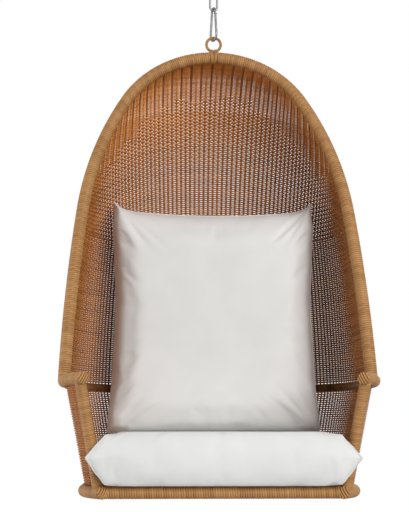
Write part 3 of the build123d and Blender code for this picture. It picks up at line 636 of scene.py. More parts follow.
class CHAIR_OT_wound_poles(Operator):
    """Wind peel round the rim, the arms, the posts and the seat's rails"""

    bl_idname = "chair.wound_poles"
    bl_label = "Wound poles"

    def execute(self, context):
        wind = context.scene.chair_winding
        rim_normal = np.array([0.0, -rim_upright, -FOOT_Y / rim_slant])
        arm = rail_line(ARM_HALF, ARM_HEIGHT)
        arm = arm[: int(np.argmax(arm[:, 1] > FOOT_Y + RIM_WRAPPED))]
        foot, head = post_ends()
        post_normal = unit(np.cross(head - foot, np.array([1.0, 0.0, 0.0])))
        for part, line, normal, radius in (
            ("rim", rim_line(), rim_normal, RIM_WRAPPED),
            ("arm", arm, UPRIGHT, RAIL_WRAPPED),
            ("post", straight_line(foot, head), post_normal, POST_WRAPPED),
        ):
            for side, place in (("right", line), ("left", line * MIRROR_X)):
                self.wind(wind, f"{part}_winding_{side}", place, normal, radius, f"{part}_binding_{side}")
        seat = rail_line(SEAT_HALF, 0.0)
        front = straight_line(foot * MIRROR_X, foot)
        self.wind(wind, "seat_rail_winding", seat, UPRIGHT, RAIL_WRAPPED, "seat_rail_binding")
        self.wind(wind, "front_rail_winding", front, UPRIGHT, RAIL_WRAPPED, "front_rail_binding")
        return {"FINISHED"}

    def wind(self, wind, name, line, normal, radius, node):
        """Wind one pole, the thin posts with finer peel"""
        fine = radius == POST_WRAPPED
        width = wind.post_peel_width if fine else wind.peel_width
        rise = wind.peel_rise * (wind.fine_rise if fine else 1.0)
        piece = wind_pole(name, line, normal, radius, width, rise, wind.sides)
        dress(piece, "peel", "chair", [node])


class CHAIR_OT_hanging_ring(Operator):
    """Wind the hanging ring and tie it on the rim's top with peel"""

    bl_idname = "chair.hanging_ring"
    bl_label = "Hanging ring"

    def execute(self, context):
        wind = context.scene.chair_winding
        turn = np.linspace(-math.pi / 2, 1.5 * math.pi, 160)
        height = level(RING_HEIGHT) + RING_RADIUS * np.sin(turn)
        ring = np.column_stack([RING_RADIUS * np.cos(turn), np.zeros(len(turn)), height])
        normal = np.array([0.0, 1.0, 0.0])
        rise = wind.peel_rise * wind.fine_rise
        winding = wind_pole("ring_winding", ring, normal, RING_WRAPPED, wind.ring_peel_width, rise, 10)
        dress(winding, "peel", "chair", ["ring_binding"])
        self.lash()
        return {"FINISHED"}

    def lash(self):
        """Peel round the rim under the ring, and bands from the ring's foot to the rim's underside"""
        half_band, half_thick = 0.0014, 0.0008
        sink = 0.0007       # of the turns round the rim, below the winding's crown
        spread = 0.3        # of a band's lean that is left at the rim's underside
        parting = 0.0015    # of the two fans of bands, from the middle
        over_ring, over_rim = 0.0012, 0.0006
        beside_ring = 0.0016
        strands = []
        rng = seeded("lashing")
        turn = np.linspace(0, 2 * math.pi, 41)
        round_rim = np.column_stack([np.zeros(len(turn)), np.sin(turn), -np.cos(turn)])
        for shift in np.arange(-0.0095, 0.0096, 0.0038):
            line = np.array([shift, 0.0, level(RIM_TOP)]) + round_rim * (RIM_WRAPPED - sink)
            strands.append((line, round_rim, 0.3 * rng.random()))
        low = level(RIM_TOP) - RIM_WRAPPED
        high = level(RING_HEIGHT - RING_RADIUS) + RING_WRAPPED + over_ring
        rise = (1 - np.cos(turn)) / 2
        reach = RIM_WRAPPED + over_rim + (RING_WRAPPED + beside_ring - RIM_WRAPPED) * rise**3
        for lean in (-0.0094, -0.0070, -0.0046, -0.0022, 0.0022, 0.0046, 0.0070, 0.0094):
            foot = math.copysign(parting, lean) + spread * lean
            across = foot + (lean - foot) * rise
            line = np.column_stack([across, reach * np.sin(turn), low + (high - low) * rise])
            strands.append((line, round_rim, 0.25 + 0.5 * rng.random()))
        lashing = strand_object("ring_tie", strands, half_band, half_thick, 6)
        dress(lashing, "peel", "chair", ["ring_lashing"])


class CHAIR_OT_rail_caps(Operator):
    """Close the four rail ends with strips of peel"""

    bl_idname = "chair.rail_caps"
    bl_label = "Rail caps"

    def execute(self, context):
        half_strip, half_thick = 0.0017, 0.0011
        strips = []
        rng = seeded("caps")
        for half, height in ((ARM_HALF, ARM_HEIGHT), (SEAT_HALF, 0.0)):
            line = rail_line(half, height)
            for end, inner in ((line[0], line[3]), (line[-1], line[-4])):
                strips += self.cap(end, unit(end - inner), rng)
        caps = strand_object("rail_end_plaits", strips, half_strip, half_thick, 6)
        dress(caps, "peel", "chair", ["rail_end_caps"])
        return {"FINISHED"}

    def cap(self, end, outward, rng):
        """Pale strips laid slantwise over one rail end, above a dark closed layer that crosses them"""
        radius = RAIL_WRAPPED - 0.0006
        dome = 0.0040
        sink = 0.0012
        fall = 0.9      # share of the dome's height that is lost at its edge
        flare = 0.5     # lean of the strips' normals at its edge
        across = unit(np.cross(outward, UPRIGHT))
        tilt = math.copysign(0.55, end[0])
        lean = unit(UPRIGHT + tilt * across)
        cross = unit(across - tilt * UPRIGHT)
        share = np.linspace(-1.0, 1.0, 13)
        strips = []
        for first, second, lift, shifts, tint in (
            (cross, lean, 0.0, np.arange(-3, 4) * 0.0034, 0.0),
            (lean, cross, 0.0016, np.arange(-2, 3) * 0.0052, 0.5),
        ):
            for shift in shifts:
                half = math.sqrt(max(radius**2 - shift**2, 1e-6))
                height = dome * (1 - (share * half / radius) ** 2 * fall - (shift / radius) ** 2 * fall)
                line = end + first * (share * half)[:, None] + second * shift
                line = line + outward * (height + lift - sink)[:, None]
                normal = unit(outward + first * (share * flare)[:, None] + second * shift / radius * flare)
                strips.append((line, normal, tint + 0.3 * rng.random()))
        return strips


# Weave
ROW_ABOVE_ARM = 0.0146      # the hood's first row, above the arm rail's centre
ROW_BELOW_ARM = 0.0148      # the basket's first row, below it
RIM_CLEAR = 0.003           # from a row's end to the rim's plane
STAKE_CLEAR = 0.002         # from the last stake to a row's end
STAKE_END = 0.004           # from a rail's centre to a stake's end, and from the seam to one above it
STAKE_STEP = 0.012
BASKET_STAKE_POINTS = 14
RIB_LOWEST = 0.74           # the ribbed border lies above this height
RIB_RAGGED = 0.03           # how much its depth differs from stake to stake
PAINTED_LIGHT_HEIGHTS = (0.80, 0.96)     # heights of the back over which the reeds are painted paler: painted light on the hood's top
CLOSER_HEIGHTS = (0.78, 0.90)   # heights of the back over which the rows draw together
TOP_CLEAR = 0.02            # from the last row to the rim, along the back's middle line
ARC_POINTS = 240
SIDE_POINTS = 120


def stake_runs(settings, farthest):
    """Runs along the arm rail, from the back's middle, at which the stakes stand"""
    count = int(farthest / settings.stake_pitch)
    return np.arange(-count, count + 1) * settings.stake_pitch


def with_middles(values):
    """Values with a middle one between each pair"""
    spread = np.empty(2 * len(values) - 1)
    spread[0::2] = values
    spread[1::2] = (values[1:] + values[:-1]) / 2
    return spread


def woven_samples(runs, phase, limit):
    """Runs of a row at its stakes, between them and at its ends, and the side on which it lies there"""
    samples = with_middles(runs)
    sides = np.zeros(len(samples))
    sides[0::2] = np.where(phase % 2 == 0, 1.0, -1.0)
    return np.concatenate([[-limit], samples, [limit]]), np.concatenate([[0.0], sides, [0.0]])


def stake_numbers(runs, pitch):
    """Numbers of the stakes at runs, counted from the middle one"""
    return np.rint(runs / pitch).astype(int)


def reed_tint(rng, count):
    """Slow change of tone along a reed"""
    ends = rng.random(max(2, count // 24 + 2))
    return np.interp(np.linspace(0, len(ends) - 1, count), np.arange(len(ends)), ends)


def stake_tint(rng):
    """Tone of a stake"""
    return 0.2 + 0.5 * rng.random()


def rim_limit(height):
    """Run along the arm rail at which a level row of the hood meets the rim"""
    return QUARTER + BACK_Y - (rim_y(height) + RIM_CLEAR)


def basket_limit(height):
    """Run along the arm rail at which the basket's rows end, the same at each height"""
    return np.full_like(height, QUARTER + SIDE_LENGTH + TOE_RADIUS * TOE_SWEEP)


def wall_rows(rng, heights, half_at, limit_at, clear, settings):
    """Level rows of a wall, whose last stakes stand clear of the rows' ends"""
    rows = []
    for row, height in enumerate(heights):
        limit = limit_at(height)
        runs = stake_runs(settings, limit - clear)
        samples, sides = woven_samples(runs, stake_numbers(runs, settings.stake_pitch) + row, limit)
        line, normal = wall_spots(samples, height, half_at)
        rows.append((line + normal * (sides * settings.wave)[:, None], normal, reed_tint(rng, len(line))))
    return rows


def wall_stakes(rng, runs, heights, half_at, limit_at):
    """Upright stakes of a wall, each at those heights where the wall reaches its run"""
    stakes = []
    for run in runs:
        reached = heights[np.abs(run) <= limit_at(heights)]
        if len(reached) > 1:
            line, normal = wall_spots(run, reached, half_at)
            stakes.append((line, normal, stake_tint(rng)))
    return stakes


def weave_piece(name, reeds, half_height, settings, node):
    """One object of woven reeds"""
    piece = strand_object(name, reeds, half_height, settings.reed_depth, settings.sides)
    dress(piece, "weave", "chair", [node])


def stake_piece(name, stakes, settings, node):
    """One object of stakes"""
    piece = strand_object(name, stakes, settings.stake_half, settings.stake_depth, settings.sides)
    dress(piece, "weave", "chair", [node])


class HoodRow:
    """One slanting row of the upper hood: a fine half line from the back's middle to the rim or the seam"""

    def __init__(self, rise, settings):
        turn = np.linspace(0, math.pi / 2, ARC_POINTS)
        z = self.back_heights(turn, rise, settings)
        half = hood_half(z)
        back = np.column_stack([half * np.sin(turn), BACK_Y + half * np.cos(turn), z])
        forward = np.linspace(0, SIDE_LENGTH, SIDE_POINTS)[1:]
        side_z = rise - settings.slant * forward
        side = np.column_stack([hood_half(side_z), BACK_Y - forward, side_z])
        line = np.vstack([back, side])
        out_back = np.column_stack([np.sin(turn), np.cos(turn)])
        out_side = np.column_stack([np.ones(len(forward)), np.zeros(len(forward))])
        out = np.vstack([out_back, out_side])
        kept = (line[:, 2] > settings.seam_height) & (line[:, 1] > rim_y(line[:, 2]) + RIM_CLEAR)
        kept &= line[:, 2] < RIM_TOP - 0.0005
        stop = len(kept) if kept.all() else int(np.argmin(kept))
        heading = hood_heading(line[:stop, 2])
        self.line = line[:stop]
        self.normal = np.column_stack([out[:stop] * np.sin(heading)[:, None], np.cos(heading)])
        self.whole_run = run_lengths(line)
        self.run = self.whole_run[:stop]

    def back_heights(self, turn, rise, settings):
        """Heights round the back at which the row's slanting plane meets the hood, by halving"""
        low = np.full(len(turn), settings.seam_height - 0.3)
        high = np.full(len(turn), RIM_TOP)
        for _ in range(40):
            mid = (low + high) / 2
            over = mid - rise - settings.slant * hood_half(mid) * np.cos(turn) > 0
            high = np.where(over, mid, high)
            low = np.where(over, low, mid)
        return (low + high) / 2

    def at(self, runs):
        """Points and normals at runs to either side of the middle"""
        side = np.where(runs < 0, -1.0, 1.0)
        line = at_runs(np.abs(runs), self.run, self.line)
        normal = unit(at_runs(np.abs(runs), self.run, self.normal))
        line[:, 0] *= side
        normal[:, 0] *= side
        line[:, 2] = level(line[:, 2])
        return line, normal

    def crossings(self, rise, starts, settings):
        """Numbers of the stakes that the row meets and its runs there, from left to right"""
        found = []
        for stake, (start_rise, start_run) in starts.items():
            run = start_run * (1 + settings.fan * max(0.0, rise - start_rise))
            if rise >= start_rise - 1e-9 and abs(run) <= self.run[-1]:
                found.append((run, stake))
        found.sort()
        return np.array([stake for _, stake in found]), np.array([run for run, _ in found])


class CHAIR_OT_woven_hood(Operator):
    """Weave the hood: level rows up to a seam, slanting rows above it, on stakes that fan out to the rim"""

    bl_idname = "chair.woven_hood"
    bl_label = "Woven hood"

    def execute(self, context):
        settings = context.scene.chair_weave
        seam = settings.seam_height
        heights = np.arange(ARM_HEIGHT + ROW_ABOVE_ARM, seam + settings.reed_height, settings.low_pitch)
        lower = wall_rows(seeded("hood_low"), heights, hood_half, rim_limit, STAKE_CLEAR, settings)
        upper, top, stakes = self.upper_rows(settings)
        runs = stake_runs(settings, rim_limit(ARM_HEIGHT + 0.02))
        heights = np.arange(ARM_HEIGHT + STAKE_END, seam + STAKE_END, STAKE_STEP)
        stakes += wall_stakes(seeded("hood_stakes"), runs, heights, hood_half, rim_limit)
        weave_piece("hood_reeds_lower", lower, settings.low_reed, settings, "woven_hood")
        weave_piece("hood_reeds_upper", upper, settings.reed_height, settings, "woven_hood")
        weave_piece("hood_reeds_top", top, settings.top_reed, settings, "woven_hood")
        stake_piece("hood_stakes", stakes, settings, "woven_hood")
        return {"FINISHED"}

    def upper_rows(self, settings):
        """Slanting rows above the seam, the finer ones at the top, and the stakes that cross them"""
        rng = seeded("hood_high")
        edge_rng = seeded("rib_edge")
        starts = self.stake_starts(settings)
        border = {stake: settings.rib_depth + RIB_RAGGED * (edge_rng.random() - 0.5) for stake in starts}
        stake_spots = {stake: [] for stake in starts}
        reeds, top_reeds = [], []
        for index, height in enumerate(self.back_heights(settings)):
            rise = height - settings.slant * float(hood_half(height))
            row = HoodRow(rise, settings)
            if len(row.run) < 3:
                continue
            stakes, runs = row.crossings(rise, starts, settings)
            if len(stakes) < 2:
                continue
            spots, normals = row.at(runs)
            for stake, spot, normal in zip(stakes, spots, normals):
                stake_spots[stake].append((spot, normal))
            ribbed = self.near_rim(spots, np.array([border[stake] for stake in stakes]))
            samples, sides = woven_samples(runs, stakes + np.where(ribbed, 0, index), row.run[-1])
            line, normal = row.at(samples)
            line = line + normal * (sides * settings.wave)[:, None]
            # Painted light: the reeds are painted paler towards the hood's top, in place of the light that
            # doesn't reach it
            painted_light = np.interp(height, PAINTED_LIGHT_HEIGHTS, (0.0, settings.top_painted_light))
            rows = top_reeds if height > settings.fine_height else reeds
            rows.append((line, normal, reed_tint(rng, len(line)) + painted_light))
        stake_lines = []
        for spots in stake_spots.values():
            if len(spots) > 2:
                line = np.array([spot for spot, _ in spots])[::2]
                normal = np.array([normal for _, normal in spots])[::2]
                stake_lines.append((line, normal, stake_tint(rng)))
        return reeds, top_reeds, stake_lines

    def near_rim(self, spots, depth):
        """Whether each spot lies in the ribbed border behind the rim"""
        height = spots[:, 2] - SEAT_Z
        return (spots[:, 1] - rim_y(height) < depth) & (height > RIB_LOWEST)

    def back_heights(self, settings):
        """Heights of the slanting rows on the back's middle line, closer together near the top"""
        points = hood_points[hood_points[:, 1] >= settings.seam_height + settings.reed_height]
        run = run_lengths(points)
        heights = []
        reach = 0.0
        while reach < run[-1] - TOP_CLEAR:
            heights.append(float(np.interp(reach, run, points[:, 1])))
            pitch = np.interp(heights[-1], CLOSER_HEIGHTS, (settings.high_pitch, settings.top_pitch))
            reach += float(pitch)
        return heights

    def stake_starts(self, settings):
        """Where each stake leaves the seam: the rise of the row there, and its run along that row"""
        seam = settings.seam_height
        seam_half = float(hood_half(seam))
        lowest = seam - settings.slant * seam_half
        starts = {}
        runs = stake_runs(settings, rim_limit(seam) - STAKE_CLEAR)
        for stake, run in zip(stake_numbers(runs, settings.stake_pitch), runs):
            line, _ = wall_spots(run, seam, hood_half)
            rise = max(lowest, seam - settings.slant * (float(line[0, 1]) - BACK_Y))
            whole_run = HoodRow(rise, settings).whole_run
            index = min(abs(run), QUARTER) / QUARTER * (ARC_POINTS - 1)
            index += max(0.0, abs(run) - QUARTER) / SIDE_LENGTH * (SIDE_POINTS - 1)
            reach = float(np.interp(index, np.arange(len(whole_run)), whole_run))
            starts[int(stake)] = (rise, math.copysign(reach, run))
        return starts


class CHAIR_OT_woven_basket(Operator):
    """Weave the basket's wall between the arm rail and the seat rail"""

    bl_idname = "chair.woven_basket"
    bl_label = "Woven basket"

    def execute(self, context):
        settings = context.scene.chair_weave
        rng = seeded("basket")
        heights = np.arange(ARM_HEIGHT - ROW_BELOW_ARM, RAIL_WRAPPED + 0.001, -settings.basket_pitch)
        rows = wall_rows(rng, heights, basket_half, basket_limit, POST_WRAPPED, settings)
        runs = stake_runs(settings, basket_limit(ARM_HEIGHT) - POST_WRAPPED)
        heights = np.linspace(STAKE_END, ARM_HEIGHT - STAKE_END, BASKET_STAKE_POINTS)
        stakes = wall_stakes(rng, runs, heights, basket_half, basket_limit)
        weave_piece("basket_reeds", rows, settings.basket_reed, settings, "woven_basket")
        stake_piece("basket_stakes", stakes, settings, "woven_basket")
        return {"FINISHED"}


class CHAIR_OT_woven_seat(Operator):
    """Weave the flat seat inside the seat rail"""

    bl_idname = "chair.woven_seat"
    bl_label = "Woven seat"

    def execute(self, context):
        settings = context.scene.chair_weave
        inset = 0.004               # of the rows' ends from the rail's centre
        side_clear = 0.006          # of the outermost stakes from the rail's centre
        row_clear = 0.003           # of a row's last stake from its end
        past_deck = 0.002           # of the first and last row
        stake_past_deck = 0.006     # of the stakes in front
        flatter = 0.8               # the reeds' wave, against the walls'
        stake_step = 0.03
        rng = seeded("seat")
        low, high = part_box("seat_deck")
        height = (low[2] + high[2]) / 2
        plan = rail_plan(SEAT_HALF, 0.0)
        right = plan[: len(plan) // 2 + 1]
        right = right[np.argsort(right[:, 1])]
        pitch = settings.seat_pitch
        count = int((SEAT_HALF - side_clear) / pitch)
        columns = np.arange(-count, count + 1) * pitch
        rows = []
        for row, y in enumerate(np.arange(low[1] - past_deck, high[1] + past_deck, settings.high_pitch)):
            half = float(np.interp(y, right[:, 1], right[:, 0]) - inset)
            runs = columns[np.abs(columns) < half - row_clear]
            if len(runs) < 2:
                continue
            samples, sides = woven_samples(runs, stake_numbers(runs, pitch) + row, half)
            wave = sides * settings.wave * flatter
            line = np.column_stack([samples, np.full(len(samples), y), height + wave])
            rows.append((line, np.tile(UPRIGHT, (len(line), 1)), reed_tint(rng, len(line))))
        stakes = []
        for x in columns:
            reach = right[right[:, 0] - inset > abs(x), 1]
            front = np.array([x, max(low[1] - stake_past_deck, reach.min()), height])
            line = straight_line(front, np.array([x, reach.max(), height]), stake_step)
            stakes.append((line, np.tile(UPRIGHT, (len(line), 1)), stake_tint(rng)))
        weave_piece("seat_reeds", rows, settings.reed_height, settings, "seat_deck")
        stake_piece("seat_stakes", stakes, settings, "seat_deck")
        return {"FINISHED"}


# Cushions
CLOTH = {
    "quality": 6,
    "mass": 0.25,
    "vertex_group_mass": "edge",
    "use_pressure": True,
    "tension_stiffness": 25,
    "compression_stiffness": 20,
    "shear_stiffness": 8,
    "bending_stiffness": 0.6,
}


def sewn_pad(name, front, back):
    """Two cloth panels of the same grid, sewn along their edge; faces point outwards"""
    rows, columns, _ = front.shape
    front_index = np.arange(rows * columns).reshape(rows, columns)
    back_index = front_index.copy()
    inner = back[1:-1, 1:-1].reshape(-1, 3)
    back_index[1:-1, 1:-1] = rows * columns + np.arange(len(inner)).reshape(rows - 2, columns - 2)
    faces = np.vstack([grid_quads(front_index), grid_quads(back_index)[:, ::-1]])
    points = np.vstack([front.reshape(-1, 3), inner])
    return mesh_object(name, points, faces.tolist()), front_index, back_index


def edge_loop(grid):
    """Indices round the edge of a panel, in order"""
    return np.concatenate([grid[0, :], grid[1:, -1], grid[-1, -2::-1], grid[-2:0:-1, 0]])


def read_points(piece):
    """An object's points as an array"""
    points = np.empty(len(piece.data.vertices) * 3)
    piece.data.vertices.foreach_get("co", points)
    return points.reshape(-1, 3)


def write_points(piece, points):
    """Put an array of points into an object"""
    piece.data.vertices.foreach_set("co", points.ravel())
    piece.data.update()


def pick_only(piece):
    """Make one object the selected and active one"""
    bpy.ops.object.select_all(action="DESELECT")
    piece.select_set(True)
    bpy.context.view_layer.objects.active = piece


def fill_pad(piece, edge, settings):
    """Let the filling press the cloth out between its sewn edges, within a reach"""
    scene = bpy.context.scene
    start = read_points(piece)
    pick_only(piece)
    piece.vertex_groups.new(name="edge").add([int(index) for index in edge], 1.0, "REPLACE")
    cloth = piece.modifiers.new("filling", "CLOTH")
    for trait, value in CLOTH.items():
        setattr(cloth.settings, trait, value)
    cloth.settings.uniform_pressure_force = settings.pressure
    cloth.settings.shrink_min = -settings.slack
    cloth.settings.effector_weights.gravity = 0.0
    cloth.point_cache.frame_start = 1
    cloth.point_cache.frame_end = settings.steps
    for step in range(1, settings.steps + 1):
        scene.frame_set(step)
    bpy.ops.object.modifier_apply(modifier=cloth.name)
    scene.frame_set(1)
    piece.vertex_groups.clear()
    shift = read_points(piece) - start
    moved = np.maximum(np.linalg.norm(shift, axis=1, keepdims=True), 1e-9)
    shift *= settings.reach * np.tanh(moved / settings.reach) / moved
    write_points(piece, start + shift)


def smooth_pad(piece):
    """One subdivision, applied"""
    pick_only(piece)
    finer = piece.modifiers.new("finer", "SUBSURF")
    finer.levels = 1
    finer.render_levels = 1
    bpy.ops.object.modifier_apply(modifier=finer.name)


def sewn_line(line, centre, radius):
    """Strand for a line of stitching that lies on a cushion"""
    tangent = unit(np.gradient(line, axis=0))
    normal = unit(line - centre)
    normal = unit(normal - tangent * np.sum(normal * tangent, axis=1, keepdims=True))
    return line + normal * radius * 0.3, normal, 0.5


def dress_cushion(piece, seams, settings):
    """Give a cushion its stitched edges and its cover, in place of the cover and filling of the solids"""
    name = piece.name
    welt = strand_object(name + "_welt", seams, settings.welt, settings.welt, 6)
    dress(piece, "cover", name, [name + "_cover", name + "_filling"])
    dress(welt, "cover", name)


class CHAIR_OT_back_cushion(Operator):
    """Sew and fill the back cushion: two panels with pointed corners, drawn-in sides and a full middle"""

    bl_idname = "chair.back_cushion"
    bl_label = "Back cushion"

    def execute(self, context):
        settings = context.scene.chair_cushions
        low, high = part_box("back_cushion_cover")
        columns = int((high[0] - low[0]) / settings.cell) | 1
        rows = int((high[2] - low[2]) / settings.cell) | 1
        across, up = np.meshgrid(np.linspace(-1, 1, columns), np.linspace(-1, 1, rows))
        front, back = self.panels(across, up, low, high)
        piece, front_index, _ = sewn_pad("back_cushion", front, back)
        edge = edge_loop(front_index)
        fill_pad(piece, edge, settings)
        smooth_pad(piece)
        points = read_points(piece)
        points[:, 1] = np.clip(points[:, 1], low[1] - 0.004, high[1] + 0.002)
        points[:, 2] = np.maximum(points[:, 2], low[2])
        write_points(piece, points)
        closed_edge = points[np.append(edge, edge[0])]
        dress_cushion(piece, [sewn_line(closed_edge, points.mean(axis=0), settings.welt)], settings)
        return {"FINISHED"}

    def panels(self, across, up, low, high):
        """Front and back cloth on a grid from -1 to 1 across and up"""
        seam_foot_y, seam_lean = 0.080, 0.024
        half_up = (-1, -0.5, 0.1, 0.75, 0.93, 1)
        half_width = (0.254, 0.245, 0.238, 0.246, 0.242, 0.245)
        fullness, back_share = 0.070, 0.9
        off_centre = 0.004
        foot_sink, corner_rise = 0.002, 0.018
        ears, sag = 0.024, 0.012    # how far the top edge falls inside its corners, and towards its middle
        x = across * np.interp(up, half_up, half_width) + off_centre
        foot = low[2] - foot_sink
        top = high[2] + corner_rise - ears * (1 - across**16) - sag * (1 - across**2)
        share = (up + 1) / 2
        z = foot + share * (top - foot)
        seam_y = seam_foot_y + seam_lean * share
        turned = (1 - across**20) * (1 - np.where(up < 0, up**16, up**12))
        depth = fullness * np.clip(turned, 0, None) ** 0.5
        front = np.stack([x, seam_y - depth, z], axis=-1)
        back = np.stack([x, seam_y + depth * back_share, z], axis=-1)
        return front, back


class CHAIR_OT_seat_cushion(Operator):
    """Sew and fill the seat cushion: a deep pad, round in front, with pointed ends in front of the posts"""

    bl_idname = "chair.seat_cushion"
    bl_label = "Seat cushion"

    def execute(self, context):
        settings = context.scene.chair_cushions
        low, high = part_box("seat_cushion_cover")
        columns = int((high[0] - low[0]) / settings.cell) | 1
        rows = int((high[1] - low[1]) / settings.cell) | 1
        across, along = np.meshgrid(np.linspace(-1, 1, columns), np.linspace(0, 1, rows))
        top, bottom = self.panels(across, along, low, high)
        piece, top_index, bottom_index = sewn_pad("seat_cushion", top, bottom)
        edge = edge_loop(top_index)
        held = (np.abs(across.ravel()[edge]) > 0.85) | (along.ravel()[edge] > 0.5)
        fill_pad(piece, edge[held], settings)
        points = read_points(piece)
        points[:, 1] = np.maximum(points[:, 1], low[1] - 0.006)
        points[:, 2] = np.clip(points[:, 2], low[2] + 0.0002, high[2] - 0.0002)
        write_points(piece, points)
        smooth_pad(piece)
        seams = self.end_seams(read_points(piece), top_index, bottom_index, settings.welt)
        dress_cushion(piece, seams, settings)
        return {"FINISHED"}

    def panels(self, across, along, low, high):
        """Top and bottom cloth on a grid from -1 to 1 across and from 0 at the front to 1 at the back"""
        seam_height = 0.057             # above the underside
        front_curve = 0.006             # of the front edge, back at its ends
        front_roll, back_roll = 0.017, 0.045
        end_slope, side_slope = 0.042, 0.022
        end_half = 0.26                 # wider than this, a row belongs to the pointed ends
        tip_clear = 0.005               # of the pointed ends, inside the solid's box
        top_clear, bottom_clear = 0.003, 0.001
        closer_front = 1.3              # power that draws the rows together towards the front
        y = low[1] + along**closer_front * (high[1] - low[1])
        half = self.half_width(y, high[0] - tip_clear)
        x = across * half
        front_y = y[0] + front_curve * across[0] ** 2
        y = np.maximum(y, front_y + 0.004 * along)
        seam = low[2] + seam_height
        shoulder = np.where(half > end_half, end_slope, side_slope)
        side = np.clip(half * (1 - np.abs(across)) / shoulder, 0, 1)
        from_front = np.clip((y - front_y) / front_roll, 0, 1)
        from_back = np.clip((high[1] - y) / back_roll, 0, 1)
        swell = side * np.sqrt(1 - (1 - np.minimum(from_front, from_back)) ** 2)
        crown = 1 - 0.02 * across**2
        top = seam + (high[2] - top_clear - seam) * swell * crown
        bottom = seam - (seam - low[2] - bottom_clear) * swell
        return np.stack([x, y, top], axis=-1), np.stack([x, y, bottom], axis=-1)

    def half_width(self, y, widest):
        """Half width in plan: corners in front of the posts, a waist between them, a round back"""
        post_y = post_ends()[0][1]
        corner_back, waist_front = post_y - 0.0262, post_y - 0.0215
        waist = widest - 0.0365
        back_radius = SEAT_HALF - 0.0225
        corner = np.interp(y, [corner_back, waist_front], [widest, waist])
        round_back = np.sqrt(np.maximum(back_radius**2 - np.maximum(y - BACK_Y, 0) ** 2, 0.02**2))
        return np.where(y < waist_front, corner, np.minimum(corner, round_back))

    def end_seams(self, points, top_index, bottom_index, welt):
        """Stitched edges that run from each pointed end to the top and the underside"""
        cells = 8
        centre = points.mean(axis=0)
        seams = []
        for grid in (top_index, bottom_index):
            for panel in (grid, grid[:, ::-1]):
                corner = np.array([panel[min(2 * step, cells - 1), step] for step in range(cells)])
                seams.append(sewn_line(points[corner], centre, welt))
        return seams


class CHAIR_OT_bare_pieces(Operator):
    """Finish the solids: bare poles, screws, chain, hook and ceiling fitting show as they are"""

    bl_idname = "chair.bare_pieces"
    bl_label = "Bare pieces"

    def execute(self, context):
        slots = {entry["node"]: entry["material_slot"] for entry in frame["record"]["subparts"]}
        for node, piece in frame["nodes"].items():
            finish(piece, slots[node])
        return {"FINISHED"}


# Studio
FOCAL_PIXELS = 1290.0       # of the lens, in pixels of the photograph
PICTURE_PIXELS = 512.0      # height of the photograph
HORIZON_PIXELS = 184.0      # the lens's own level, below the picture's middle
ASIDE_PIXELS = 9.5          # the chair's axis, beside the picture's middle
CAMERA_AROUND = math.radians(3.2)
CAMERA_DISTANCE = 3.0
CAMERA_HEIGHT = 0.106
SENSOR = 36.0
LIGHT_TARGET = Vector((0.0, 0.0, level(0.45)))
SURROUND_LIGHT = 0.16
FLOOR_RADIUS = 1.7
FLOOR_HEIGHT = -0.42
FLOOR_FADE = (0.35, 0.95)   # shares of the radius between which the floor fades out


